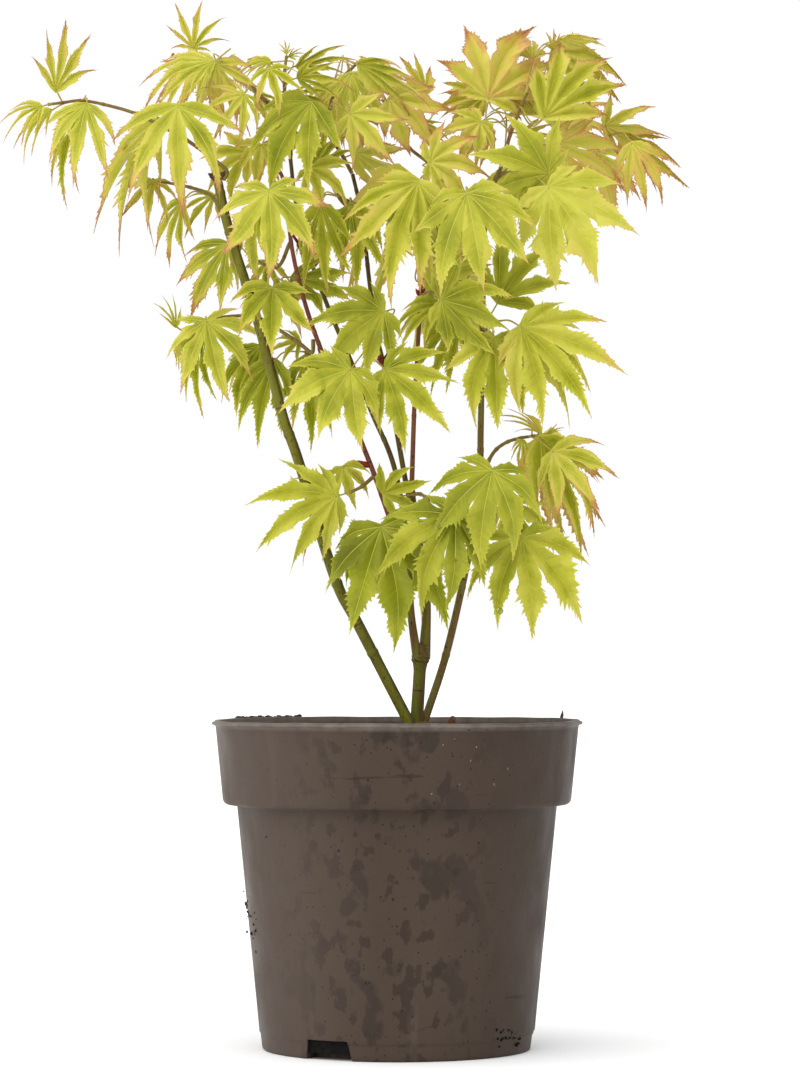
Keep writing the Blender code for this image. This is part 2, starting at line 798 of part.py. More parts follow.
def lathe(name, profile, sides, paint):
    """A solid turned round +Z from a profile of (radius, height) that ends on the axis."""
    work = bmesh.new()
    corners = [work.verts.new((radius * MM, 0, height * MM)) for radius, height in profile]
    edges = [work.edges.new(pair) for pair in zip(corners, corners[1:])]
    bmesh.ops.spin(
        work,
        geom=corners + edges,
        axis=(0, 0, 1),
        cent=(0, 0, 0),
        angle=2 * math.pi,
        steps=sides,
        use_merge=True,
    )
    bmesh.ops.remove_doubles(work, verts=work.verts, dist=1e-6)
    bmesh.ops.recalc_face_normals(work, faces=work.faces)
    mesh = bpy.data.meshes.new(name)
    work.to_mesh(mesh)
    work.free()
    mesh.materials.append(paint)
    mesh.shade_smooth()
    mesh.set_sharp_from_angle(angle=math.radians(35))
    made = bpy.data.objects.new(name, mesh)
    bpy.context.scene.collection.objects.link(made)
    return made


def inner_radius(height):
    """The pot's inner face, which follows its outer one a wall's thickness in."""
    if height >= BAND_FOOT_HEIGHT:
        rise = (height - BAND_FOOT_HEIGHT) / (POT_HEIGHT - BAND_FOOT_HEIGHT)
        return between(BAND_FOOT_RADIUS, BAND_TOP_RADIUS, rise) - WALL
    return between(FOOT_RADIUS, WALL_TOP_RADIUS, height / BAND_FOOT_HEIGHT) - WALL


def pot_profile():
    ring_radius = between(FOOT_RADIUS, WALL_TOP_RADIUS, FOOT_RING_HEIGHT / BAND_FOOT_HEIGHT)
    step = BAND_FOOT_HEIGHT + WALL
    return (
        (0, FLOOR),
        (inner_radius(FLOOR), FLOOR),
        (inner_radius(BAND_FOOT_HEIGHT - 0.01), step),
        (inner_radius(step), step),
        (inner_radius(POT_HEIGHT), POT_HEIGHT),
        (LIP_RADIUS - 0.8, POT_HEIGHT),
        (LIP_RADIUS, POT_HEIGHT - 0.8),
        (LIP_RADIUS, POT_HEIGHT - LIP_HEIGHT),
        (BAND_TOP_RADIUS, POT_HEIGHT - LIP_HEIGHT - 0.6),
        (BAND_FOOT_RADIUS, BAND_FOOT_HEIGHT),
        (WALL_TOP_RADIUS, BAND_FOOT_HEIGHT),
        (ring_radius, FOOT_RING_HEIGHT),
        (ring_radius - FOOT_RING_STEP, FOOT_RING_HEIGHT - 1),
        (FOOT_RADIUS - FOOT_RING_STEP, 0),
        (0, 0),
    )


def notch_cutter():
    """The wedges that cut the drain notches."""
    points, faces = [], []
    for i in range(NOTCHES):
        turn = Matrix.Rotation(NOTCH_DIRECTION + 2 * math.pi * i / NOTCHES, 3, "Z")
        first = len(points)
        for radius in (NOTCH_INNER_RADIUS, FOOT_RADIUS + 10):
            for half, height in (
                (-NOTCH_WIDTH / 2, -1),
                (NOTCH_WIDTH / 2, -1),
                (NOTCH_TOP_WIDTH / 2, NOTCH_HEIGHT),
                (-NOTCH_TOP_WIDTH / 2, NOTCH_HEIGHT),
            ):
                points.append(turn @ Vector((radius, half, height)))
        faces.append([first + k for k in (3, 2, 1, 0)])
        faces.append([first + k for k in (4, 5, 6, 7)])
        for k in range(4):
            n = (k + 1) % 4
            faces.append([first + k, first + n, first + n + 4, first + k + 4])
    cutter = add_object("drain_notch_cutter", points, faces)
    cutter.hide_render = True
    cutter.display_type = "WIRE"
    return cutter


def make_pot():
    pot = lathe("pot", pot_profile(), POT_SIDES, material("pot", *COLOURS["pot"]))
    cut = pot.modifiers.new("drain_notches", "BOOLEAN")
    cut.operation = "DIFFERENCE"
    cut.object = notch_cutter()


def make_compost():
    step = BAND_FOOT_HEIGHT + WALL
    low = FLOOR + CLEAR
    profile = (
        (0, SOIL_HEIGHT),
        (inner_radius(SOIL_HEIGHT) - CLEAR, SOIL_HEIGHT),
        (inner_radius(step) - CLEAR, step + CLEAR),
        (inner_radius(BAND_FOOT_HEIGHT - 0.01) - CLEAR, step + CLEAR),
        (inner_radius(low) - CLEAR, low),
        (0, low),
    )
    name = "potting_compost"
    lathe(name, profile, POT_SIDES, material(name, *COLOURS[name]))


def make_root_crown():
    """A flared stool, cut flat where it stands on the compost and where the canes rise."""
    foot = CROWN_TOP - CROWN_HEIGHT
    rings = 4
    points = []
    for ring in range(rings + 1):
        rise = ring / rings
        flare = (1 - rise) ** 2
        for i in range(CROWN_SIDES):
            turn = 2 * math.pi * i / CROWN_SIDES
            lobe = 1 - 0.25 * flare * (1 - math.cos(CROWN_ROOTS * turn))
            radius = between(CROWN_TOP_RADIUS, CROWN_FOOT_RADIUS, flare) * lobe
            centre = Vector((CROWN_X, 0, foot + CROWN_HEIGHT * rise))
            points.append(centre + radius * Vector((math.cos(turn), math.sin(turn), 0)))
    faces = [list(range(CROWN_SIDES))[::-1]]
    for ring in range(rings):
        for i in range(CROWN_SIDES):
            j = (i + 1) % CROWN_SIDES
            low = ring * CROWN_SIDES
            faces.append([low + i, low + j, low + CROWN_SIDES + j, low + CROWN_SIDES + i])
    faces.append([rings * CROWN_SIDES + i for i in range(CROWN_SIDES)])
    add_object("root_crown", points, faces, material("root_crown", *COLOURS["root_crown"]))


def volume_of(faces):
    total = 0
    for face in faces:
        corners = [vert.co for vert in face.verts]
        for b, c in zip(corners[1:], corners[2:]):
            total += corners[0].dot(b.cross(c))
    return total / 6


def keep_one_body(made):
    """Fills sealed hollows and drops loose scraps: only the largest shell stays."""
    work = bmesh.new()
    work.from_mesh(made.data)
    unseen = set(work.faces)
    shells = []
    while unseen:
        shell, front = set(), [next(iter(unseen))]
        while front:
            face = front.pop()
            if face in shell:
                continue
            shell.add(face)
            front += [near for edge in face.edges for near in edge.link_faces]
        unseen -= shell
        shells.append(shell)
    shells.sort(key=volume_of)
    for shell in shells[:-1]:
        bmesh.ops.delete(work, geom=list(shell), context="FACES")
    loose = [vert for vert in work.verts if not vert.link_faces]
    bmesh.ops.delete(work, geom=loose, context="VERTS")
    work.to_mesh(made.data)
    work.free()


def join_spray(name, pieces, paint):
    """One Boolean union of the stem with its stalks and blades."""
    rest = bpy.data.collections.new(name)
    bpy.context.scene.collection.children.link(rest)
    made = add_object(name, *pieces[0], paint)
    for i, piece in enumerate(pieces[1:]):
        add_object(f"{name}_{i}", *piece, paint, rest)
    union = made.modifiers.new("union", "BOOLEAN")
    union.operation = "UNION"
    union.operand_type = "COLLECTION"
    union.collection = rest
    union.solver = "EXACT"
    bpy.context.view_layer.objects.active = made
    bpy.ops.object.modifier_apply(modifier=union.name)
    for piece in list(rest.objects):
        bpy.data.objects.remove(piece)
    bpy.data.collections.remove(rest)
    keep_one_body(made)


def main():
    for old in list(bpy.data.objects):
        bpy.data.objects.remove(old)
    make_pot()
    make_compost()
    make_root_crown()
    lines, limb_meshes = make_limbs()
    for name, mesh in limb_meshes.items():
        limb = add_object(name, *mesh, material(name, *COLOURS[name]))
        limb.data.shade_smooth()
        limb.data.set_sharp_from_angle(angle=math.radians(50))
    for i, (name, pieces) in enumerate(make_sprays(lines, limb_meshes).items()):
        colour = LEAF_COLOURS[i % len(LEAF_COLOURS)]
        join_spray(name, pieces, material(name, colour, LEAF_ROUGHNESS))


main()
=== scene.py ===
"""The looks of the potted Japanese maple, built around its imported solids.

Every spray's leaves grow from the same table and by the same seeded rule as its solid, with
toothed, folded blades in place of the plain ones. Sizes are in millimetres until a mesh is
made. Places on the plant are given on the front elevation, as x and z, with the depth behind
it, and seen() slides a point along the line of sight of the camera.
"""

import math
import random
from collections import namedtuple

import bmesh
import bpy
import numpy as np
from mathutils import Matrix, Vector
from mathutils.bvhtree import BVHTree


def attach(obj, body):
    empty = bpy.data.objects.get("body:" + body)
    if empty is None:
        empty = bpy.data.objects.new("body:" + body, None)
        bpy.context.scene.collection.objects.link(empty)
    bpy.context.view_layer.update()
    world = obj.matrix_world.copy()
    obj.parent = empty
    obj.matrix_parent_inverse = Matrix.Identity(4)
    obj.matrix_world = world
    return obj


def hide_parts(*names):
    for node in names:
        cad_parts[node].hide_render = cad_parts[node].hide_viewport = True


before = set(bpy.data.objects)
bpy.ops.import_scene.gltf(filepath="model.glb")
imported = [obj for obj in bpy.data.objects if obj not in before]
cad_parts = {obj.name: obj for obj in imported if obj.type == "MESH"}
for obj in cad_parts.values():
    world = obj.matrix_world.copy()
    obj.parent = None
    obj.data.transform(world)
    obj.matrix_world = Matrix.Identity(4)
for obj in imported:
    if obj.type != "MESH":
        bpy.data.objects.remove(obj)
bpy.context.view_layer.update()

MM = 0.001
CLEAR = 0.3
UP = Vector((0, 0, 1))
DOWN = -UP

# The camera, which is where the front elevation is seen from.
VIEW_DISTANCE = 2000
EYE_HEIGHT = 210
EYE_X = 1.5
TILT = math.radians(91.4)
LENS = 129
SENSOR = 36

# The pot.
POT_HEIGHT = 168
LIP_RADIUS = 95
LIP_HEIGHT = 4
BAND_TOP_RADIUS = 93
BAND_FOOT_RADIUS = 89
BAND_FOOT_HEIGHT = 125
WALL_TOP_RADIUS = 82
FOOT_RADIUS = 69.5
FOOT_RING_HEIGHT = 9
FOOT_RING_STEP = 0.6
WALL = 1.6
FLOOR = 3
NOTCHES = 3
NOTCH_WIDTH = 27
NOTCH_TOP_WIDTH = 23
NOTCH_HEIGHT = 10
NOTCH_INNER_RADIUS = 58
NOTCH_DIRECTION = math.radians(240)
POT_SIDES = 240

SOIL_HEIGHT = 156.5
CROWN_X = 10
CROWN_HEIGHT = 10
CROWN_TOP_RADIUS = 9
CROWN_FOOT_RADIUS = 15
CROWN_ROOTS = 5
CROWN_TOP = SOIL_HEIGHT + CLEAR + CROWN_HEIGHT

# The plain solids that the rule tests for room: their sides and sizes.
LIMB_SIDES = 7
TWIG_SIDES = 4
PETIOLE_SIDES = 3
TWIG_DIAMETERS = (2.2, 1.5)
PETIOLE_RADIUS = 0.6
STALK_SUNK = 0.6
STALK_HEEL = 0.4
STALK_STEP = 1.7
STALK_STEPS = 3
STALK_ARCH = 0.4
SHORT_STALK = 12
LOBES = {
    5: ((-80, 0.60), (-40, 0.88), (0, 1.0), (40, 0.88), (80, 0.60)),
    7: ((-112, 0.40), (-76, 0.70), (-38, 0.92), (0, 1.0), (38, 0.92), (76, 0.70), (112, 0.40)),
}
SINUS = 0.32
SHOULDER = 0.52
LOBE_HALF_WIDTH = 0.15
CENTRE_THICKNESS = 1.6
RIDGE_THICKNESS = 1.0
HEEL = 0.03
DROOP = 0.16
CUP = 0.14
RIDGED_FROM = 47
LOBE_VARIATION = (0.92, 1.06)
GROWN = 0.45
TWIN_FROM = 22
TWIN_REACH = 105
TWIN_SHARE = 0.5
TWIN_SIZE = 0.8
TWIN_DEPTHS = (38, 84)
TWIN_LEANS = (25, 55)
SHIFTS = (0, 4, -4, 8, -8, 12, -12, 17, -17, 23, -23, 30, -30, 38)

# A real blade: its lobes' true width, folds, teeth and thickness.
CUT_SPREAD = (0.88, 1.12)
WIDTH_SPREAD = (0.9, 1.1)
FOLD_SPREAD = (0.6, 1.3)
FOLD_MOST = 0.8
FOLD_GAIN = 0.5
SHOULDER_SHARE = 0.34  # where a lobe is widest, from the sinus to its tip
FALL = 1.25
TAPER = 1.5
TAIL = 0.006  # half the width of the thread that a lobe ends in
TOOTH = 0.11
TOOTH_LEAST = 0.013
TOOTH_RUN = 1.4
TOOTH_NOTCH = 0.3
TOOTHED_FROM = 0.15
TOOTH_SIZES = (0.1, 0.5, 1, 2)
SMOOTH_UNDER = 22  # shorter leaves have only faint teeth
TOOTHED_OVER = 46  # longer leaves have full ones
LEAST_SHARP = 0.12
VEIN_SLANT = 0.8
OUTER_TURN = math.radians(32)  # how far round the outermost lobes' free sides begin
OUTER_SINUS = 0.75
LOBE_TONE_SPREAD = 0.65
PLEAT = 0.06
BULGE = 0.05
WAVE = 0.2
TWIST = 1.4
BOW = 0.12
HANG = 0.17
MOTTLE = 0.6
PALER_BENEATH = 0.9
RAGGED_WAVES = (8, 13, 20)
FULL_GROWN = 40
YOUNG_NARROWER = 0.7
YOUNG_PALER = 1.6
UNEVEN = 0.18  # how unlike a lobe's two sides are
RAGGED = 0.28  # how far the outline wanders
INNER_ROWS = 3
OUTER_ROWS = {False: 18, True: 34}
FINE_FROM = 26  # a leaf this long has the finer rows
SPANS = {True: (0.45, 0.84), False: (0.6,)}  # the upper and the lower face's columns
RIB_HALF_WIDTH = (0.28, 0.1)
SHEET = 0.13
RIB_RELIEF = 0.26
RIB_FULL_SIZE = 50  # the leaf length that the rib's width is given for
RIB_SHOWN = 0.8  # how much of a lobe's rib is in the ribs' colour
DOME = 0.4  # how high a fine tube's rounded ends are, as a share of its radius

Limb = namedtuple("Limb", "foot tip fork on bark scars route")
Form = namedtuple("Form", "half sinus fold tone tint")
Spray = namedtuple("Spray", "on form stem leaves")
Leaf = namedtuple("Leaf", "node x z depth aim size lean roll spread lobes")

# Each limb: its diameter at the foot, near its tip and at its very tip, where a fork swells,
# the limb it stands on with where along it (None for the root crown), its slot with its bark's
# two colours, flecks, and the browner colour with painted shade of its right-facing side, the
# heights that its leaf scars show at, and its route.
LIMBS = {
    "left_cane": Limb(
        5.8, 4.8, 4.8, None, "bark_green 6E6C20 5A5618 3A2C12 332A12", (217, 241, 328),
        [(6, 167, -6), (-20, 217, -8), (-32, 241, -11), (-51, 302, -17), (-59, 325, -19),
         (-72, 374, -22), (-86, 418, -22), (-93, 448, -20)],
    ),
    "centre_stem": Limb(
        6.8, 6.4, 8.4, None, "bark_green 64661C 504E14 4A2C14 5A341C", (183,),
        [(10, 167, 0), (11, 183, 0), (12, 200, 0)],
    ),
    "centre_left_bough": Limb(
        3.4, 4.2, 6.4, ("centre_stem", 1), "bark_green 6A6822 624426 3A2416 5A301C", (),
        [(10.2, 0, -2), (7, 224, -3), (6, 246, -3)],
    ),
    "centre_right_bough": Limb(
        4.4, 4.4, 6.2, ("centre_stem", 1), "bark_green 6A6822 5E4A22 3A2416 5A301C", (),
        [(14, 0, 1.6), (15, 230, 4), (11, 260, 5), (6, 290, 5)],
    ),
    "stem_one": Limb(
        2.8, 1.9, 1.9, ("centre_left_bough", 1), "bark_brown 743E30 7E4C38 3C1E16 5A2A20", (300,),
        [(4.6, 0, -4), (-6, 278, -6), (-14, 300, -8), (-26, 329, -12), (-37, 353, -15),
         (-47, 381, -20), (-54, 410, -22), (-58, 443, -24), (-62, 453, -24)],
    ),
    "stem_two": Limb(
        2.8, 2.0, 2.0, ("centre_left_bough", 1), "bark_brown 5A4426 645C2C 30200F 3E2A18", (406,),
        [(7.2, 0, -1.4), (-1, 296, 8), (-13, 326, 12), (-24, 353, 15), (-35, 379, 18),
         (-45, 406, 20), (-52, 433, 20), (-55, 457, 18)],
    ),
    "stem_three": Limb(
        2.8, 2.0, 2.0, ("centre_right_bough", 1), "bark_brown 5A4426 62582A 30200F 3E2A18", (353,),
        [(4.4, 0, 6.7), (-2, 326, 14), (-7, 351, 20), (-10, 364, 24), (-14, 391, 28),
         (-17, 418, 30), (-20, 436, 30), (-23, 449, 30)],
    ),
    "stem_four": Limb(
        2.6, 2.0, 2.0, ("centre_right_bough", 1), "bark_brown 76472F 805238 3C2014 5A3020", (388,),
        [(7.6, 0, 4.3), (9, 332, -3), (11, 366, -8), (12, 388, -12), (14, 404, -14)],
    ),
    "upper_left_bough": Limb(
        2.8, 2.0, 2.0, ("stem_three", 0.88), "bark_brown 6E6820 665028 342214 40301A", (),
        [(0, 0, 0), (-28, 435, 22), (-36, 448, 14), (-48, 465, 6), (-58, 477, 2), (-67, 486, 0)],
    ),
    "right_cane": Limb(
        4.2, 2.6, 2.6, None, "bark_brown 727036 6C582C 422816 664028", (240, 367),
        [(14, 167, 6), (25, 201, 8), (35, 244, 9), (42, 281, 8), (43, 317, 6), (44, 374, 3),
         (45, 419, 0), (48, 439, -2), (53, 451, -4)],
    ),
}

# Each spray: the limb that carries it and where along that limb, the form of its leaves, the
# route of its stem, and its leaves. The form is half a lobe's width and the depth of the cut
# between lobes, both as shares of a lobe, how steeply the lobes are folded, the shade at the
# blade's middle, and how strongly margins and tips are tinted. A leaf has the number of the
# stem point that its stalk leaves, the place of its base, the direction of its middle lobe in
# degrees anticlockwise from +X, that lobe's length as seen from the front, its lean towards the
# front and its roll in degrees, how widely its lobes spread and how many they are.
SPRAYS = {
    "far_left_spray": Spray(
        ("left_cane", 0.97), Form(0.095, 0.24, 0.4, 3.5, 1.5),
        [(-88, 451, -20), (-99, 460, -20), (-109, 467, -18), (-116, 471, -16), (-134, 480, -14),
         (-151, 485, -12), (-163, 487, -12), (-172, 486, -14), (-180, 485, -16)],
        [(8, -176, 492, -18, 80, 37, 10, 20, 0.48, 5),
         (9, -183, 484, -28, 205, 24, 25, 30, 0.6, 5), (8, -178, 482, -6, 220, 30, 15, 45, 0.5, 5),
         (7, -160, 485, -28, 258, 39, 28, 0, 0.74, 5),
         (7, -163, 484, 14, 246, 50, -12, 10, 0.3, 5),
         (4, -113, 484, -42, 271, 56, 18, 0, 0.95, 5),
         (5, -123, 477, -6, 241, 71, 14, 45, 0.5, 5)],
    ),
    "left_inner_spray": Spray(
        ("left_cane", 0.9), Form(0.1, 0.24, 0.45, 3.5, 1.6),
        [(-95, 437, -6), (-106, 442, 0), (-126, 446, -4)],
        [(3, -126, 445, -16, 262, 25, 20, 0, 1, 7), (1, -110, 436, 8, 246, 38, -10, 30, 0.5, 5),
         (1, -94, 438, 16, 222, 25, 20, 20, 0.7, 5)],
    ),
    "yellow_spray": Spray(
        ("stem_two", 1), Form(0.16, 0.4, 0.35, 3.7, 1.0),
        [(-55, 461, 18), (-59, 463, 18)],
        [(2, -70, 464, 10, 258, 22, 20, 0, 1.1, 5), (2, -76, 460, 28, 203, 31, -15, 10, 0.8, 5),
         (1, -55, 461, 30, 120, 21, 30, 20, 0.7, 5)],
    ),
    "left_face_spray": Spray(
        ("stem_one", 0.965), Form(0.135, 0.36, 0.35, 3.2, 1.5),
        [(-60, 443, -40), (-63, 445, -52)],
        [(2, -66, 440, -62, 275, 44, 20, 0, 1.08, 7), (1, -72, 433, -26, 262, 39, -5, 30, 0.6, 5)],
    ),
    "left_back_spray": Spray(
        ("stem_one", 0.82), Form(0.11, 0.26, 0.4, 2.9, 1.8),
        [(-62, 401, -4), (-76, 406, 4)],
        [(2, -87, 413, 6, 233, 42, -12, 10, 0.7, 5), (1, -66, 404, 10, 262, 24, -25, 20, 0.9, 5)],
    ),
    "inner_hanging_spray": Spray(
        ("stem_three", 0.86), Form(0.12, 0.3, 0.4, 2.6, 1.2),
        [(-23, 434, 14), (-30, 437, 4)],
        [(2, -39, 433, -20, 272, 46, 14, 10, 0.5, 5), (1, -24, 433, -4, 279, 47, 14, 10, 0.5, 5)],
    ),
    "left_mid_spray": Spray(
        ("stem_one", 0.74), Form(0.15, 0.4, 0.35, 2.0, 1.3),
        [(-55, 388, -34)],
        [(1, -64, 390, -46, 268, 31, 24, 0, 1.15, 5), (1, -54, 396, -10, -6, 34, -14, 48, 0.8, 5),
         (1, -72, 386, -44, 248, 17, 15, 30, 0.8, 5)],
    ),
    "left_lower_spray": Spray(
        ("stem_one", 0.6), Form(0.115, 0.28, 0.35, 2.5, 1.0),
        [(-44, 357, -14), (-52, 363, -8), (-70, 374, 0), (-78, 376, 2), (-98, 374, 2),
         (-107, 369, 0), (-111, 365, -2)],
        [(5, -98, 373, -10, 283, 42, 12, 0, 1.0, 7), (6, -101, 369, 20, 262, 46, -10, 20, 0.34, 5),
         (7, -114, 370, -8, 104, 19, 10, 30, 0.4, 5), (7, -112, 362, 2, 266, 14, 10, 40, 0.3, 5),
         (2, -50, 363, 2, 192, 21, 10, 30, 0.8, 5), (3, -70, 360, 16, 234, 38, -18, 20, 0.6, 5)],
    ),
    "left_hanging_spray": Spray(
        ("stem_one", 0.57), Form(0.11, 0.28, 0.45, 2.4, 0.7),
        [(-39, 352, -6), (-47, 357, 2)],
        [(2, -63, 353, 4, 252, 47, 6, 20, 0.62, 5), (2, -47, 355, -2, 277, 48, 8, 10, 0.5, 5)],
    ),
    "centre_spray": Spray(
        ("stem_three", 0.55), Form(0.155, 0.4, 0.3, 2.4, 0.6),
        [(-11, 363, 10), (-13, 361, -14)],
        [(2, -24, 348, -46, 236, 38, 26, 0, 1.0, 7), (1, -7, 378, -30, 212, 39, 24, 0, 0.92, 7),
         (2, -6, 348, -36, -36, 41, 24, 0, 0.85, 7)],
    ),
    "upper_left_spray": Spray(
        ("upper_left_bough", 1), Form(0.095, 0.22, 0.4, 3.7, 1.4),
        [(-72, 491, 0), (-80, 500, -2), (-99, 507, -4), (-111, 508, -4), (-116, 511, -4)],
        [(3, -105, 514, -8, 83, 27, 15, 0, 0.7, 7), (3, -95, 507, -30, 190, 42, 10, 45, 0.6, 7),
         (2, -93, 506, -18, -57, 33, 15, 20, 0.72, 5), (2, -79, 490, -36, 231, 27, 30, 0, 0.95, 7),
         (1, -73, 491, 14, -44, 24, -15, 30, 0.5, 5), (3, -96, 506, 24, 202, 37, -20, 30, 0.6, 5)],
    ),
    "top_left_spray": Spray(
        ("upper_left_bough", 0.8), Form(0.1, 0.26, 0.4, 3.3, 1.5),
        [(-58, 483, -2), (-58, 495, -6), (-58, 502, -8), (-57, 510, -8)],
        [(2, -66, 503, -22, 290, 24, 30, 0, 1.0, 5), (3, -65, 507, -12, 184, 22, 15, 50, 0.5, 5),
         (3, -52, 505, 4, 17, 32, 10, 50, 0.5, 5), (2, -51, 499, -16, 4, 30, 20, 35, 0.6, 5),
         (2, -55, 491, 14, -3, 24, -20, 45, 0.6, 5), (4, -57, 511, -8, 95, 8, 0, 0, 0.5, 5),
         (4, -56, 510, -8, 25, 9, 0, 40, 0.5, 5)],
    ),
    "inner_green_spray": Spray(
        ("upper_left_bough", 0.45), Form(0.14, 0.36, 0.4, 2.5, 0.8),
        [(-41, 461, -6), (-42, 473, -16)],
        [(1, -45, 452, -16, -22, 25, 15, 0, 1.1, 7), (1, -42, 453, 6, 58, 29, -20, 20, 0.5, 5),
         (2, -44, 486, -30, 230, 48, 18, 25, 0.85, 5)],
    ),
    "top_centre_spray": Spray(
        ("stem_three", 1), Form(0.115, 0.32, 0.45, 3.6, 1.7),
        [(-29, 460, 26), (-36, 472, 20), (-34, 486, 14), (-29, 498, 8), (-24, 503, 4),
         (-20, 507, 4)],
        [(5, -24, 501, 2, 282, 40, 16, 0, 0.72, 5), (3, -24, 480, -26, -44, 35, 22, 10, 1.0, 5),
         (6, -20, 506, -16, -20, 40, 18, 45, 0.45, 5), (4, -33, 496, 30, 250, 33, -30, 30, 0.6, 5),
         (1, -22, 460, -40, -15, 50, 14, 35, 0.85, 7)],
    ),
    "top_right_spray": Spray(
        ("right_cane", 0.93), Form(0.18, 0.45, 0.28, 4.6, 1.5),
        [(36, 433, -14), (26, 443, -12), (17, 454, -8), (6, 463, -4), (-3, 476, 0), (-7, 487, 2)],
        [(6, -4, 488, -12, -38, 35, 24, 0, 0.75, 5), (5, 15, 490, 2, 120, 25, 10, 10, 0.42, 5),
         (5, 8, 478, 22, -28, 24, -20, 45, 0.4, 5), (3, 17, 455, -32, 4, 30, 24, 0, 0.92, 7),
         (6, -9, 494, 26, 80, 21, -30, 20, 0.8, 5)],
    ),
    "centre_face_spray": Spray(
        ("stem_four", 1), Form(0.14, 0.37, 0.35, 3.4, 0.8),
        [(15, 415, -18), (14, 428, -34), (12, 438, -48)],
        [(3, 11, 445, -60, 246, 58, 20, 0, 0.66, 7), (1, 17, 393, -28, 24, 34, 20, 15, 0.8, 5)],
    ),
    "centre_mid_spray": Spray(
        ("stem_four", 0.84), Form(0.145, 0.38, 0.35, 2.8, 0.7),
        [(17, 388, -24), (20, 386, -38)],
        [(2, 23, 384, -50, -14, 40, 18, 30, 1.0, 7), (1, 22, 382, -28, 214, 29, 20, 20, 0.6, 5)],
    ),
    "right_face_spray": Spray(
        ("right_cane", 0.91), Form(0.15, 0.4, 0.32, 3.5, 0.6),
        [(42, 429, -26), (39, 435, -46)],
        [(2, 36, 439, -62, 281, 50, 20, 0, 0.9, 7), (1, 33, 419, 16, 250, 31, -30, 0, 0.8, 5)],
    ),
    "right_mid_spray": Spray(
        ("right_cane", 0.72), Form(0.15, 0.4, 0.33, 3.4, 0.4),
        [(46, 369, -14), (52, 373, -30)],
        [(2, 64, 370, -48, -42, 55, 22, 0, 0.74, 7), (1, 50, 364, -40, 272, 42, 20, 0, 0.85, 7),
         (1, 52, 383, 14, 58, 45, -15, 0, 0.7, 5), (1, 33, 376, -18, 240, 43, 12, 20, 0.45, 5)],
    ),
    "upper_right_spray": Spray(
        ("right_cane", 1), Form(0.17, 0.43, 0.3, 4.4, 1.4),
        [(56, 461, -6), (59, 472, -8), (62, 479, -8), (64, 484, -10), (67, 491, -12)],
        [(3, 47, 488, -6, 72, 47, -12, 0, 0.8, 7), (1, 45, 489, 16, 180, 29, -10, 10, 0.72, 5),
         (2, 43, 476, -26, 226, 23, 25, 0, 1.0, 7), (4, 76, 478, -34, 56, 57, -18, 0, 0.5, 5),
         (4, 72, 480, -6, 143, 30, -10, 10, 0.3, 5), (3, 62, 470, 16, 8, 22, -15, 45, 0.5, 5),
         (5, 80, 512, -8, -24, 44, 12, 25, 0.6, 5), (5, 80, 513, -14, 84, 12, 10, 40, 0.6, 5),
         (5, 84, 519, -14, 2, 23, 10, 60, 0.4, 5), (5, 70, 508, 8, 110, 19, -20, 30, 0.7, 5)],
    ),
    "right_tip_spray": Spray(
        ("right_cane", 0.985), Form(0.105, 0.28, 0.45, 5.3, 1.9),
        [(61, 453, 10), (76, 457, 14), (94, 464, 8), (110, 468, -2)],
        [(4, 107, 474, -8, -2, 34, 16, 40, 0.9, 5), (4, 116, 471, 2, -38, 43, 10, 35, 0.42, 5),
         (4, 121, 465, -24, -74, 37, 16, 10, 0.6, 5), (2, 81, 464, -12, -20, 46, 14, 15, 0.72, 7),
         (3, 99, 461, 34, -60, 41, -25, 0, 0.8, 5)],
    ),
    "right_leaf_spray": Spray(
        ("right_cane", 0.95), Form(0.155, 0.4, 0.3, 3.3, 0.4),
        [(59, 443, -24), (71, 445, -38)],
        [(2, 78, 449, -48, 154, 40, 20, 0, 0.92, 7), (2, 78, 442, -60, -53, 52, 18, 0, 0.9, 7),
         (1, 70, 448, -6, 236, 21, 10, 20, 0.7, 5)],
    ),
    "low_arch_spray": Spray(
        ("right_cane", 0.43), Form(0.115, 0.3, 0.5, 4.1, 1.5),
        [(47, 301, 4), (51, 307, 0), (57, 311, -4), (64, 313, -8), (71, 314, -12)],
        [(5, 74, 313, -20, 298, 64, 12, 10, 0.42, 5), (5, 80, 306, -34, -44, 37, 20, 0, 0.9, 5),
         (5, 74, 315, -6, 137, 25, 10, 40, 0.3, 5), (4, 65, 312, -16, 250, 15, 10, 30, 0.6, 5),
         (5, 77, 315, -14, 33, 9, 0, 40, 0.4, 5)],
    ),
    "low_right_spray": Spray(
        ("right_cane", 0.36), Form(0.15, 0.38, 0.32, 2.8, 0.3),
        [(46, 276, -14), (50, 281, -30)],
        [(2, 49, 296, -54, 257, 45, 22, 0, 1.0, 7), (1, 64, 262, -34, 280, 51, 20, 0, 0.95, 7),
         (1, 56, 281, 20, 300, 31, -30, 0, 0.8, 5)],
    ),
    "low_centre_spray": Spray(
        ("centre_right_bough", 0.93), Form(0.145, 0.38, 0.32, 2.9, 0.25),
        [(12, 284, -14), (17, 281, -40)],
        [(2, 30, 273, -66, 236, 50, 20, 0, 0.86, 7), (1, -7, 284, -18, 22, 24, 25, 0, 0.9, 5),
         (1, 3, 275, 24, -6, 27, -25, 20, 0.9, 5)],
    ),
    "low_left_spray": Spray(
        ("stem_one", 0.23), Form(0.15, 0.38, 0.32, 4.0, 0.3),
        [(-18, 288, -18), (-24, 285, -26)],
        [(2, -31, 283, -34, 198, 45, 22, 0, 0.74, 7), (1, -28, 298, -10, 290, 23, 20, 0, 1.0, 5)],
    ),
    "low_front_spray": Spray(
        ("centre_left_bough", 0.9), Form(0.155, 0.4, 0.32, 1.6, 0.3),
        [(1, 252, -20), (-1, 255, -25)],
        [(1, -8, 267, -44, 286, 62, 16, 0, 0.9, 7), (1, -13, 260, 20, 250, 31, -30, 0, 0.7, 5)],
    ),
}


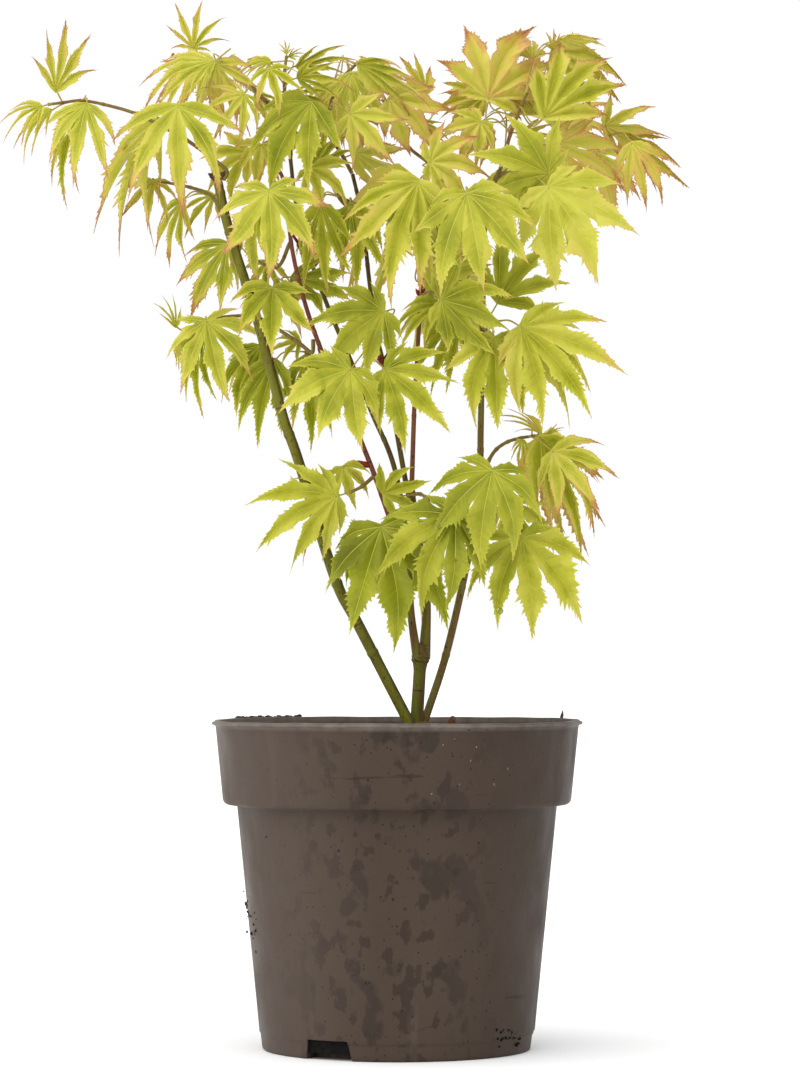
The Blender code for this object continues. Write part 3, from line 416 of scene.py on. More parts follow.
def seen(x, z, depth):
    """The point that lies `depth` behind the elevation and is seen at x, z on it."""
    scale = (VIEW_DISTANCE + depth) / VIEW_DISTANCE
    return Vector((x * scale, depth, EYE_HEIGHT + (z - EYE_HEIGHT) * scale))


def between(low, high, share):
    return low + (high - low) * share


def smooth(route, steps):
    """The route with `steps` spans between its points, on a Catmull-Rom curve."""
    ends = [2 * route[0] - route[1], *route, 2 * route[-1] - route[-2]]
    points = []
    for a, b, c, d in zip(ends, ends[1:], ends[2:], ends[3:]):
        for t in (step / steps for step in range(steps)):
            points.append(0.5 * (2 * b + (c - a) * t + (2 * a - 5 * b + 4 * c - d) * t * t
                                 + (3 * b - a - 3 * c + d) * t**3))
    points.append(route[-1])
    return points


def grid_faces(rows, columns, turned=False, closed=False):
    """The quads of a grid of points, row after row. A closed grid joins its last column up."""
    quads = []
    for row in range(rows - 1):
        for left in range(columns if closed else columns - 1):
            right = (left + 1) % columns
            low, high = row * columns, (row + 1) * columns
            quad = (low + left, low + right, high + right, high + left)
            quads.append(quad[::-1] if turned else quad)
    return quads


def ring_faces(rings, sides):
    """The faces of a closed shape made of rings of points, with a flat face on each end."""
    last = range((rings - 1) * sides, rings * sides)
    return [*grid_faces(rings, sides, closed=True), tuple(range(sides))[::-1], tuple(last)]


def tube(route, radii, sides, level_foot=False, level_tip=False):
    """A closed tube along the route. A level end is cut flat, for a joint face."""
    nexts, lasts = [*route[1:], route[-1]], [route[0], *route]
    tangents = [(ahead - behind).normalized() for ahead, behind in zip(nexts, lasts)]
    if level_foot:
        tangents[0] = UP.copy()
    if level_tip:
        tangents[-1] = UP.copy()
    across = tangents[0].orthogonal().normalized()
    points = []
    for centre, tangent, radius in zip(route, tangents, radii):
        across = (across - across.dot(tangent) * tangent).normalized()
        other = tangent.cross(across)
        for i in range(sides):
            turn = 2 * math.pi * i / sides
            points.append(centre + radius * (math.cos(turn) * across + math.sin(turn) * other))
    return points, ring_faces(len(route), sides)


def tree_of(mesh):
    return BVHTree.FromPolygons(mesh[0], mesh[1])


def gap(mesh, other):
    """The least distance between two meshes, read at their corners, or 0 if they cross."""
    if tree_of(mesh).overlap(tree_of(other)):
        return 0
    here = min(tree_of(other).find_nearest(point)[3] for point in mesh[0])
    there = min(tree_of(mesh).find_nearest(point)[3] for point in other[0])
    return min(here, there)


def along(route, share):
    """The point this share of the way along the route."""
    lengths = [(b - a).length for a, b in zip(route, route[1:])]
    left = share * sum(lengths)
    for a, b, length in zip(route, route[1:], lengths):
        if left <= length:
            return a.lerp(b, left / length)
        left -= length
    return route[-1].copy()


def taper(foot, tip, count):
    """The radii of `count` points along a tube, from its two diameters."""
    return [between(foot, tip, i / (count - 1)) / 2 for i in range(count)]


def limb_radii(limb, route):
    """The limb's taper, with the swelling of a fork in its last two spans."""
    return [*taper(limb.foot, limb.tip, len(route))[:-1], limb.fork / 2]


def start_clear(route, make, carrier):
    """The route with its foot drawn out of the carrier until the solids lie CLEAR apart."""
    way = (route[1] - route[0]).normalized()
    foot = route[0].copy()
    while gap(make([foot, *route[1:]]), carrier) < CLEAR:
        foot += 0.1 * way
    return [foot, *route[1:]]


def make_limbs():
    """Each limb's route, centre line and plain mesh, by name."""
    routes, lines, meshes = {}, {}, {}
    for name, limb in LIMBS.items():
        route = [seen(*point) for point in limb.route]
        level_foot = limb.on is None or limb.on[1] == 1
        if limb.on is None:
            route[0].z = CROWN_TOP + CLEAR
        elif level_foot:
            route[0].z = lines[limb.on[0]][-1].z + CLEAR

        def make(points, limb=limb, level_foot=level_foot):
            line = smooth(points, 2)
            return tube(line, limb_radii(limb, line), LIMB_SIDES, level_foot, limb.fork > limb.tip)

        if not level_foot:
            route[0] = along(lines[limb.on[0]], limb.on[1])
            route = start_clear(route, make, meshes[limb.on[0]])
        routes[name] = route
        lines[name] = smooth(route, 2)
        meshes[name] = make(route)
    return routes, lines, meshes


def make_stem(spray, lines, meshes):
    """The stem of a spray: its points and its mesh."""
    carrier, share = spray.on
    route = [along(lines[carrier], share), *(seen(*point) for point in spray.stem)]

    def make(points):
        return tube(points, taper(*TWIG_DIAMETERS, len(points)), TWIG_SIDES)

    route = start_clear(route, make, meshes[carrier])
    return route, make(route)


def leaf_axes(leaf):
    """The leaf's middle lobe, its side and its upper face's normal."""
    aim, lean = math.radians(leaf.aim), math.radians(leaf.lean)
    middle = Vector(
        (math.cos(aim) * math.cos(lean), -math.sin(lean), math.sin(aim) * math.cos(lean))
    )
    front = Vector((0, -1, 0))
    normal = (front - front.dot(middle) * middle).normalized()
    normal = Matrix.Rotation(math.radians(leaf.roll), 3, middle) @ normal
    return middle, middle.cross(normal), normal


def leaf_lobes(leaf, variation):
    """The leaf's true length, its lobes' turns and lengths, and the angle each has room for."""
    size = leaf.size / math.cos(math.radians(leaf.lean))
    lobes = LOBES[leaf.lobes]
    turns = [math.radians(turn * leaf.spread) for turn, _ in lobes]
    reaches = [size * share * vary for (_, share), vary in zip(lobes, variation)]
    nearest = min(b - a for a, b in zip(turns, turns[1:]))
    slant = max(abs(math.cos(math.radians(leaf.aim) + turn)) for turn in turns)
    sheared = DROOP * (SHOULDER - SINUS) * slant
    return size, turns, reaches, 0.46 * nearest - sheared


def leaf_blade(base, leaf, variation, grown=0.0):
    """A lens-shaped blade: upper and lower faces that meet at a sharp rim."""
    middle, side, normal = leaf_axes(leaf)
    size, turns, reaches, room = leaf_lobes(leaf, variation)

    def place(turn, reach, across=0.0, lift=0.0):
        way = math.cos(turn) * middle + math.sin(turn) * side
        left = math.cos(turn) * side - math.sin(turn) * middle
        bend = (DOWN - DOWN.dot(way) * way) * DROOP - normal * CUP
        return base + way * reach + bend * reach * reach / size + left * across + normal * lift

    reaches = [reach + grown for reach in reaches]
    widest = min(LOBE_HALF_WIDTH, SHOULDER * math.tan(room))
    thick = CENTRE_THICKNESS / 2 + grown
    points = [base + normal * thick, base - normal * thick, base - middle * (HEEL * size + grown)]
    rim = [2]
    ridges = []
    for i, (turn, reach) in enumerate(zip(turns, reaches)):
        if i:
            split = (turns[i - 1] + turn) / 2
            points.append(place(split, SINUS * min(reaches[i - 1], reach) + grown))
            rim.append(len(points) - 1)
        half = widest * reach + grown
        first = len(points)
        points += [place(turn, SHOULDER * reach, -half), place(turn, reach + grown),
                   place(turn, SHOULDER * reach, half)]
        rim += [first, first + 1, first + 2]
        if leaf.size >= RIDGED_FROM:
            lift = RIDGE_THICKNESS / 2 + grown
            points += [place(turn, SHOULDER * reach, 0, side * lift) for side in (1, -1)]
            ridges.append((first, first + 3, first + 4))
    owner = {}
    for first, upper, lower in ridges:
        owner.update({rim.index(first) + step: (upper, lower) for step in range(-1, 3)})
    faces = []
    count = len(rim)
    for i in range(count):
        j = (i + 1) % count
        upper, lower = owner.get(i, (0, 1))
        faces += [[upper, rim[j], rim[i]], [lower, rim[i], rim[j]]]
    for first, upper, lower in ridges:
        start = rim.index(first) - 1
        end = (start + 4) % count
        faces += [[0, upper, rim[start]], [0, rim[end], upper]]
        faces += [[1, rim[start], lower], [1, lower, rim[end]]]
    return points, faces


def stalk_route(root, base, leaf):
    """A leaf's stalk leaves the stem and comes into the base along the middle lobe."""
    middle = leaf_axes(leaf)[0]
    reach = (base - root).length
    route = [root - middle * STALK_HEEL, base + middle * STALK_SUNK]
    if reach < SHORT_STALK:
        route[0] = root - middle * STALK_SUNK
    else:
        bend = base - middle * STALK_ARCH * reach
        route.insert(1, (root + 2 * bend + base) / 4)
    return route


def stalk(root, base, leaf, grown=0.0):
    """The plain stalk."""
    route = stalk_route(root, base, leaf)
    return tube(route, [PETIOLE_RADIUS + grown] * len(route), PETIOLE_SIDES)


def stalk_root(route, node, count):
    """Stalks leave a stem close under one of its points, a little apart from each other."""
    down = (route[node - 1] - route[node]).normalized()
    return route[node] + down * STALK_STEP * (count % STALK_STEPS)


def twin_of(leaf, dice):
    """The opposite leaf of a pair: smaller, behind, and hanging away from the front."""
    return leaf._replace(
        depth=leaf.depth + dice.uniform(*TWIN_DEPTHS),
        aim=leaf.aim + dice.uniform(-5, 5),
        size=leaf.size * TWIN_SIZE,
        lean=-dice.uniform(*TWIN_LEANS),
        roll=180 - leaf.roll,
        spread=leaf.spread * 0.9,
        lobes=5,
    )


Placed = namedtuple("Placed", "leaf base root variation")


def settle(leaf, root, variation, foreign, own):
    """The leaf's base, plain blade and plain stalk at the first depth with room, or None."""
    for near in (own, []):
        for shift in SHIFTS:
            base = seen(leaf.x, leaf.z, leaf.depth + shift)
            blade = tree_of(leaf_blade(base, leaf, variation, GROWN))
            if any(blade.overlap(other) for other in foreign + near):
                continue
            held = tree_of(stalk(root, base, leaf, GROWN))
            if not any(held.overlap(other) for other in foreign):
                return base, leaf_blade(base, leaf, variation), stalk(root, base, leaf)
    return None


def grow_leaves(name, rows, route, foreign):
    """Where the leaves of one spray go, and the trees of their plain solids."""
    dice = random.Random(name)
    placed, solids, own = [], [], []
    for row in rows:
        leaves = [Leaf(*row)]
        inner = leaves[0].size >= TWIN_FROM and abs(leaves[0].x) < TWIN_REACH
        if inner and dice.random() < TWIN_SHARE:
            leaves.append(twin_of(leaves[0], dice))
        for leaf in leaves:
            variation = [dice.uniform(*LOBE_VARIATION) for _ in range(leaf.lobes)]
            root = stalk_root(route, leaf.node, len(own))
            settled = settle(leaf, root, variation, foreign, own)
            if settled:
                base, *plain = settled
                placed.append(Placed(leaf, base, root, variation))
                solids += [tree_of(mesh) for mesh in plain]
                own.append(solids[-2])
    return placed, solids


def grow_sprays(lines, limb_meshes):
    """Each spray's stem and its placed leaves, by the same rule as the solids."""
    stems = {name: make_stem(spray, lines, limb_meshes) for name, spray in SPRAYS.items()}
    stem_trees = {name: tree_of(mesh) for name, (_, mesh) in stems.items()}
    standing = [tree_of(mesh) for mesh in limb_meshes.values()]
    sprays = {}
    for name, spray in SPRAYS.items():
        others = [tree for other, tree in stem_trees.items() if other != name]
        placed, solids = grow_leaves(name, spray.leaves, stems[name][0], standing + others)
        standing += solids
        sprays[name] = (stems[name][0], placed)
    return sprays


def unit(vectors):
    return vectors / np.maximum(np.linalg.norm(vectors, axis=-1, keepdims=True), 1e-9)


def circle(sides):
    """The turns of evenly spaced points round a circle."""
    return 2 * math.pi * np.arange(sides) / sides


def hump(distance, width):
    """A smooth rise, 1 high, round the place that the distances are measured from."""
    return np.exp(-((distance / width) ** 2))


def placed_object(name, data):
    """A new object for the data, put in the scene."""
    made = bpy.data.objects.new(name, data)
    bpy.context.scene.collection.objects.link(made)
    return made


class Shape:
    """Points, faces and each face's material number, gathered for one mesh."""

    def __init__(self, *mesh):
        self.points, self.faces, self.paints = [], [], []
        self.count = 0
        if mesh:
            self.add(*mesh)

    def add(self, points, faces, paint=0):
        """Adds a mesh. `paint` is one number for all its faces or one for each."""
        self.points.append(np.asarray(points, float).reshape(-1, 3))
        self.faces += [tuple(corner + self.count for corner in face) for face in faces]
        self.paints += [paint] * len(faces) if isinstance(paint, int) else list(paint)
        self.count += len(self.points[-1])

    def make(self, name, materials, slot, sharp=50, replaced=()):
        """The piece as an object that rides on the root and stands for its CAD nodes."""
        used = sorted(set(self.paints))
        mesh = bpy.data.meshes.new(name)
        mesh.from_pydata(np.vstack(self.points) * MM, [], self.faces)
        for paint in used:
            mesh.materials.append(materials[paint])
        index = {paint: i for i, paint in enumerate(used)}
        mesh.polygons.foreach_set("material_index", [index[paint] for paint in self.paints])
        mesh.validate()
        mesh.shade_smooth()
        mesh.set_sharp_from_angle(angle=math.radians(sharp))
        piece = placed_object(name, mesh)
        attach(piece, "root")
        if replaced:
            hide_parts(*replaced)
        return piece


def welded(points, faces):
    """The mesh with its coinciding points made one and its collapsed corners dropped."""
    keys = np.round(points, 4)
    kept, owner = np.unique(keys, axis=0, return_inverse=True)
    owner = owner.reshape(-1).tolist()
    shrunk = [tuple(dict.fromkeys(owner[corner] for corner in face)) for face in faces]
    return kept, shrunk


# Leaves.


def lobe_outline(start_half, widest, reach, count):
    """How far along its lobe each margin point after the sinus lies, as a share, and how far
    from the rib, before the teeth."""
    x = np.arange(1, count + 1) / count
    rising = np.clip(x / SHOULDER_SHARE, 0, 1)
    falling = np.clip((x - SHOULDER_SHARE) / (1 - SHOULDER_SHARE), 0, 1)
    ease = rising * rising * (3 - 2 * rising)
    half = (start_half + (widest - start_half) * ease) * (1 - falling**FALL) ** TAPER
    return x, half + TAIL * reach * rising * (1 - falling**6)


def waves(dice, count, shortest, longest):
    """A smooth seeded field over points in millimetres, about one high."""
    terms = []
    for _ in range(count):
        way = unit(np.array([dice.gauss(0, 1) for _ in range(3)]))
        terms.append((way * 2 * math.pi / dice.uniform(shortest, longest), dice.uniform(0, 6.3)))

    def field(points):
        return sum(np.sin(points @ way + phase) for way, phase in terms) / math.sqrt(count)

    return field


def toothed(x, half, start, reach, sharpness, dice):
    """The margin with its teeth: how far along the lobe and from its rib each point lies, and
    the height of each point's tooth."""
    spacing = (reach - start) / len(x)
    teeth = np.zeros(len(x))
    teeth[:-1:2] = [dice.uniform(0.3, 1.3) * dice.choice(TOOTH_SIZES) for _ in teeth[:-1:2]]
    strength = np.clip((x - TOOTHED_FROM) / 0.2, 0, 1) * np.clip((1 - x) / 0.15, 0, 1)
    amount = (TOOTH * half + TOOTH_LEAST * reach * (1 - 0.6 * x)) * strength * sharpness
    half = half + amount * teeth - TOOTH_NOTCH * amount * (teeth == 0)
    along = start + (reach - start) * x + TOOTH_RUN * spacing * teeth * strength
    half[-1], along[-1] = 0, reach
    return along, half, teeth


def blade_face(rib, margin, first_column, pleat, normal, meeting, top):
    """One face of half a lobe: where its columns lie between the rib and the margin, its points
    before the relief, and its points. The faces meet in the margin's rows from `meeting` on."""
    width = np.linalg.norm(margin - rib, axis=1)
    spans = first_column + (1 - first_column) * SPANS[top]
    columns = np.hstack((0 * first_column, first_column, spans, 0 * first_column + 1))
    flat = rib[:, None] + (margin - rib)[:, None] * columns[..., None]
    swell = np.sin(math.pi * columns) * (pleat + BULGE * width)[:, None]
    thick = SHEET * np.ones_like(columns)
    thick[meeting:, -1] = 0
    thick[-1] = 0
    relief = np.zeros_like(columns)
    relief[:-1, 0] = RIB_RELIEF * (1 - np.linspace(0, 1, len(rib))[:-1])
    rise = thick - 0.35 * relief if top else -thick - relief
    return columns, flat, flat + (swell + rise)[..., None] * normal


def blade_shades(share, columns, level, tint, dots, dice):
    """Each face's shade in half a lobe, tinted at its margin and more at its tip."""
    far = np.clip((share[:-1, None] - 0.2) / 0.8, 0, 1)
    wide = ((columns[:-1, 1:] + columns[:-1, :-1]) / 2) ** 2
    level = level + 0.6 * (share[:-1, None] - 0.4)
    level = level + (0.2 + 0.5 * tint) * (wide - 0.3)
    level = level + tint * wide * (0.5 + 3.4 * far)
    level[:, -1] += 1.7 * tint * far[:, 0]
    level += tint * 5 * np.clip((far - 0.55) / 0.45, 0, 1) ** 1.3
    level = (level + MOTTLE * dots) * SHADES_A_STEP
    rough = [dice.uniform(-0.3, 0.3) for _ in range(level.size)]
    picked = np.clip(np.round(level + np.reshape(rough, level.shape)), 0, len(LEAF_SHADES) - 1)
    picked[: int(RIB_SHOWN * len(share)), 0] = len(LEAF_SHADES)
    return picked.astype(int).ravel().tolist()


def blade_surfaces(placed, dice, form, tone, tint):
    """The toothed sheet of one leaf: its points, faces and each face's shade."""
    leaf, base, _, variation = placed
    middle, side, normal = (np.array(axis) for axis in leaf_axes(leaf))
    base, down = np.array(base), np.array(DOWN)
    size, turns, reaches, angle = leaf_lobes(leaf, variation)
    cut = form.sinus * dice.uniform(*CUT_SPREAD)
    room = max(SHOULDER, cut + SHOULDER_SHARE * (1 - cut)) * math.tan(angle)
    wanted = form.half * dice.uniform(*WIDTH_SPREAD)
    widest = min(wanted, room) * min(1, max(YOUNG_NARROWER, size / FULL_GROWN))
    fold = form.fold * dice.uniform(*FOLD_SPREAD)
    fold += min(FOLD_MOST, FOLD_GAIN * math.sqrt(max(0, (wanted / widest) ** 2 - 1)))
    sharpness = (size - SMOOTH_UNDER) / (TOOTHED_OVER - SMOOTH_UNDER)
    sharpness = min(1, max(LEAST_SHARP, sharpness))
    outer_rows = OUTER_ROWS[leaf.size >= FINE_FROM]
    mottle = waves(dice, 4, 9, 26)
    inside = np.arange(INNER_ROWS + 1) / INNER_ROWS
    rows = len(inside) + outer_rows
    share = np.linspace(0, 1, rows)
    rib_half = between(*RIB_HALF_WIDTH, share) * math.sqrt(size / RIB_FULL_SIZE)

    def plain(turn, along):
        """Points along a ray from the base, drooping and cupped as the plain blade is."""
        way = math.cos(turn) * middle + math.sin(turn) * side
        hang = down - down.dot(way) * way
        bend = hang * DROOP - normal * CUP
        return base + np.outer(along, way) + np.outer(along**2 / size, bend)

    sheet = Shape()
    for i, (turn, reach) in enumerate(zip(turns, reaches)):
        left = math.cos(turn) * side - math.sin(turn) * middle
        ahead = math.cos(turn) * middle + math.sin(turn) * side
        twist = dice.uniform(-TWIST, TWIST)
        wave_phase = dice.uniform(0, 6.3)
        bow = dice.uniform(-BOW, BOW)
        hang = (down - down.dot(ahead) * ahead) * HANG * dice.uniform(0.2, 2)
        own_tone = tone + dice.uniform(-LOBE_TONE_SPREAD, LOBE_TONE_SPREAD)

        def curve(along, turn=turn, reach=reach, left=left, bow=bow, hang=hang):
            """The lobe's rib, which bows to one side and hangs over at its end."""
            late = np.clip((along / reach - 0.3) / 0.7, 0, 1)
            return plain(turn, along) + np.outer(reach * late**2.5, hang + bow * left)

        for sign in (-1, 1):
            j = i + sign
            inner = 0 <= j < len(turns)
            delta = abs(turns[j] - turn) / 2 if inner else OUTER_TURN
            sinus = cut * (min(reach, reaches[j]) if inner else OUTER_SINUS * reach)
            start, out = sinus * math.cos(delta), sinus * math.sin(delta)
            side_half = widest * reach * dice.uniform(1 - UNEVEN, 1 + UNEVEN)
            x, half = lobe_outline(out, max(side_half, 1.05 * out), reach, outer_rows)
            ragged = sum(np.sin(f * x + dice.uniform(0, 6.3)) for f in RAGGED_WAVES) / 3
            half = half * (1 + RAGGED * ragged * np.minimum(1, 4 * x))
            rib_along = np.append(start * inside - VEIN_SLANT * out * inside,
                                  start + (reach - start) * x - VEIN_SLANT * half)
            rib_along[-1] = reach
            rib_along = np.maximum.accumulate(np.maximum(rib_along, 0))
            along, half, teeth = toothed(x, half, start, reach, sharpness, dice)
            turned = twist * x * x
            across = np.outer(np.cos(turned) * half * sign, left)
            across += np.outer(np.sin(turned) * half * sign, normal)
            ripple = WAVE * half * np.sin(9 * x + wave_phase + sign)
            free = curve(np.minimum(along, reach)) + across + np.outer(fold * half + ripple, normal)
            first = plain(turn, np.array([start]))[0]
            first = first + sign * out * left + fold * out * normal
            if inner:
                inward = plain((turns[j] + turn) / 2, sinus * inside)
                inward += np.outer(fold * math.sin(delta) * sinus * inside, normal)
                free += np.outer((1 - x) ** 3, inward[-1] - first)
            else:
                heel = base - middle * HEEL * size
                inward = heel + np.outer(inside, first - heel)
            margin = np.vstack((inward, free))
            rib = curve(rib_along)
            margin[-1] = rib[-1]
            width = np.linalg.norm(margin - rib, axis=1)
            first_column = np.minimum(0.4, rib_half / np.maximum(width, 1e-6))[:, None]
            spacing = (reach - start) / outer_rows
            pleat = np.where(teeth > 0, -1, 1) * PLEAT * spacing * sharpness
            pleat = np.append(np.zeros(len(inside)), pleat)
            pleat[-1] = 0
            meeting = INNER_ROWS if inner else 0
            for top in (True, False):
                columns, flat, surface = blade_face(
                    rib, margin, first_column, pleat, normal, meeting, top
                )
                level = own_tone + (0 if top else PALER_BENEATH)
                dots = mottle((flat[:-1, 1:] + flat[1:, :-1]) / 2)
                shades = blade_shades(share, columns, level, tint, dots, dice)
                quads = grid_faces(rows, columns.shape[1], (sign < 0) == top)
                sheet.add(surface, quads, shades)
    kept, shrunk = welded(np.vstack(sheet.points), sheet.faces)
    whole = [(face, shade) for face, shade in zip(shrunk, sheet.paints) if len(face) > 2]
    return kept, *zip(*whole)


def fine_tube(route, radii, sides):
    """A round tube along many points, with a shallow dome on each end."""
    ahead = unit(np.gradient(route, axis=0))
    points = []
    across = np.array(Vector(ahead[0]).orthogonal())
    turns = circle(sides)
    for centre, tangent, radius in zip(route, ahead, radii):
        across = across - across.dot(tangent) * tangent
        across /= np.linalg.norm(across)
        other = np.cross(tangent, across)
        ring = np.outer(np.cos(turns) * radius, across) + np.outer(np.sin(turns) * radius, other)
        points.append(centre + ring)
    foot = route[0] - ahead[0] * radii[0].mean() * DOME
    tip = route[-1] + ahead[-1] * radii[-1].mean() * DOME
    points = np.vstack((*points, foot, tip))
    faces = grid_faces(len(route), sides, closed=True)
    end, last = len(points) - 2, len(points) - 2 - sides
    for i in range(sides):
        j = (i + 1) % sides
        faces += [(end, j, i), (end + 1, last + i, last + j)]
    return points, faces


def resampled(route, spacing):
    """The route as evenly spaced points, and how far along it each of them lies."""
    curve = np.array([tuple(point) for point in smooth(list(route), 12)])
    steps = np.linalg.norm(np.diff(curve, axis=0), axis=1)
    far = np.concatenate(([0], np.cumsum(steps)))
    count = max(4, int(far[-1] / spacing) + 1)
    wanted = np.linspace(0, far[-1], count)
    return np.stack([np.interp(wanted, far, curve[:, k]) for k in range(3)], axis=1), wanted


# Materials.


def colour(value):
    """A socket's colour, from an sRGB hex code, linear parts or the level of a grey."""
    if isinstance(value, str):
        parts = [int(value[i : i + 2], 16) / 255 for i in (0, 2, 4)]
        value = [c / 12.92 if c <= 0.04045 else ((c + 0.055) / 1.055) ** 2.4 for c in parts]
    elif not isinstance(value, tuple):
        value = (value,) * 3
    return (*value, 1)


class Paint:
    """A Principled material, and the patterns that drive it."""

    def __init__(self, name, roughness, **sockets):
        self.made = bpy.data.materials.new(name)
        self.made.use_nodes = True
        self.tree = self.made.node_tree
        self.shader = self.tree.nodes["Principled BSDF"]
        self.feed(self.shader, Roughness=roughness, **sockets)

    def feed(self, node, **inputs):
        """Links each named input of the node to an output, or sets it to a plain value."""
        for name, value in inputs.items():
            socket = node.inputs[name.replace("_", " ")]
            if isinstance(value, bpy.types.NodeSocket):
                self.tree.links.new(value, socket)
            else:
                socket.default_value = value
        return node

    def node(self, kind, **inputs):
        return self.feed(self.tree.nodes.new("ShaderNode" + kind), **inputs)

    def pattern(self, kind, scale, stretch=(1, 1, 1), **inputs):
        """The outputs of a pattern on the piece's own coordinates, `scale` features a metre."""
        place = self.node("TexCoord").outputs["Object"]
        place = self.node("Mapping", Vector=place, Scale=stretch).outputs["Vector"]
        return self.node(kind, Vector=place, Scale=scale, **inputs).outputs

    def noise(self, scale, stretch=(1, 1, 1), detail=4):
        return self.pattern("TexNoise", scale, stretch, Detail=detail)["Fac"]

    def ramp(self, source, *stops):
        """A colour ramp on a pattern, with stops as (place, colour)."""
        made = self.node("ValToRGB", Fac=source)
        elements = made.color_ramp.elements
        while len(elements) < len(stops):
            elements.new(0.5)
        for element, (place, value) in zip(elements, stops):
            element.position = place
            element.color = colour(value)
        return made.outputs["Color"]

    def over(self, under, share, upper):
        """A colour laid over another by a pattern's share."""
        mix = self.node("Mix")
        mix.data_type = "RGBA"
        return self.feed(mix, Factor=share, A=under, B=colour(upper)).outputs["Result"]

    def product(self, one, other):
        """Two shares multiplied."""
        made = self.node("Math")
        made.operation = "MULTIPLY"
        for value, socket in zip((one, other), made.inputs):
            self.tree.links.new(value, socket)
        return made.outputs["Value"]

    def along(self, axis, output="Object"):
        """Where a point lies along an axis of the piece, or how far it faces that way."""
        return self.node("SeparateXYZ", Vector=self.node("TexCoord").outputs[output]).outputs[axis]

    def zone(self, axis, *stops):
        """A share that changes along an axis, with stops as (millimetres, share)."""
        low, high = ZONE
        span = self.node("MapRange", Value=self.along(axis), From_Min=low * MM, From_Max=high * MM)
        stops = [((place - low) / (high - low), share) for place, share in stops]
        return self.ramp(span.outputs["Result"], *stops)

    def roughen(self, source, low, high):
        """Roughness that a pattern drives between two values."""
        self.feed(self.shader, Roughness=self.ramp(source, (0.3, low), (0.7, high)))

    def emboss(self, source, height, strength=1):
        """A bump of `height` millimetres from a pattern."""
        bump = self.node("Bump", Height=source, Distance=height * MM, Strength=strength)
        self.feed(self.shader, Normal=bump.outputs["Normal"])


ZONE = (-100, 200)  # the span in millimetres that every zone is drawn on
# From shaded green to lime, yellow, ochre and the pinkish brown of the tips.
LEAF_RAMP = "67690E 797C14 8B8D1E 9D9C2A ADAA38 B9B34A C0AF50 BE9E50 B78B54 A8744E"
RIB_COLOUR = "BCBC58"
SHADES_A_STEP = 2


def leaf_shades():
    """The ramp's colours, with SHADES_A_STEP shades from each to the next."""
    keys = [np.array(colour(code)) for code in LEAF_RAMP.split()]
    shares = np.arange(SHADES_A_STEP) / SHADES_A_STEP
    return [between(a, b, share) for a, b in zip(keys, keys[1:]) for share in shares] + keys[-1:]


LEAF_SHADES = leaf_shades()


def leaf_materials():
    """A material for each shade of the blades, and the ribs' own as the last."""
    made = []
    for i, shade in enumerate([*LEAF_SHADES, colour(RIB_COLOUR)]):
        name = f"leaf_shade_{i}" if i < len(LEAF_SHADES) else "leaf_rib"
        paint = Paint(name, 0.5, Base_Color=shade, Specular_IOR_Level=0.2, Subsurface_Weight=0.3,
                      Subsurface_Radius=(0.8, 1.0, 0.2), Subsurface_Scale=0.001)
        fine = paint.noise(900)
        paint.roughen(fine, 0.38, 0.6)
        paint.emboss(fine, 0.05)
        made.append(paint.made)
    return made


def bark_material(name, main, other, dark, tint_and_painted_shade=None, roughness=0.5):
    """Smooth young bark: streaks of two colours along it, dark flecks, and a browner tint with
    painted shade on the side that faces right.
    """
    paint = Paint(name, roughness, Specular_IOR_Level=0.14)
    streaks = paint.noise(260, (1, 1, 0.12), 6)
    flecks = paint.ramp(paint.noise(900, (1, 1, 0.5), 2), (0.62, 0), (0.7, 1))
    base = paint.over(paint.ramp(streaks, (0.38, main), (0.62, other)), flecks, dark)
    if tint_and_painted_shade:
        # Painted shade, with a browner tint: the bark is darker where it faces +X, the right of the
        # front view.
        side = paint.ramp(paint.along("X", "Normal"), (0.35, 0), (0.85, 0.85))
        base = paint.over(base, side, tint_and_painted_shade)
    paint.feed(paint.shader, Base_Color=base)
    paint.roughen(streaks, roughness - 0.1, roughness + 0.12)
    paint.emboss(streaks, 0.15)
    return paint.made


def pot_material():
    """Matt recycled plastic, with damp blotches, splashes, drips and scratches, painted light on
    its left and painted shade on its right.
    """
    paint = Paint("pot_moulded_plastic", 0.5, Specular_IOR_Level=0.14)
    patches = paint.noise(60, (1, 1, 0.7), 14)
    splashes = paint.noise(130, (1, 1, 0.7), 12)
    drips = paint.noise(55, (1, 1, 0.1), 6)
    scuffs = paint.noise(160, (1, 1, 0.35), 8)
    scratches = paint.noise(120, (0.12, 0.12, 1.6), 5)
    specks = paint.pattern("TexVoronoi", 210)["Distance"]
    middle = paint.zone("X", (-60, 0.25), (-30, 1), (22, 1), (50, 0.15))
    base = paint.ramp(paint.noise(9, (1, 1, 0.5), 3), (0.3, "3D3128"), (0.7, "463A31"))
    layers = (
        (paint.product(paint.ramp(patches, (0.55, 0), (0.6, 0.65)), middle), "2E2520"),
        (paint.product(paint.ramp(splashes, (0.56, 0), (0.61, 0.6)), middle), "2B211B"),
        (paint.ramp(drips, (0.62, 0), (0.72, 0.25)), "5E524A"),
        (paint.ramp(scratches, (0.68, 0), (0.7, 0.5)), "241A14"),
        (paint.ramp(specks, (0.08, 0.8), (0.12, 0)), "1A130E"),
        (paint.product(paint.zone("Z", (164.2, 0), (165.4, 1)), scuffs), "847B73"),
        # Painted light: paler towards the left side of the pot.
        (paint.zone("X", (-88, 0.34), (-50, 0.24), (-10, 0)), "63574F"),
        # Painted shade: darker towards the right side of the pot.
        (paint.zone("X", (15, 0), (75, 0.35)), "2E221A"),
    )
    for share, upper in layers:
        base = paint.over(base, share, upper)
    paint.feed(paint.shader, Base_Color=base)
    paint.roughen(patches, 0.62, 0.4)
    paint.emboss(scuffs, 0.22, 0.9)
    return paint.made


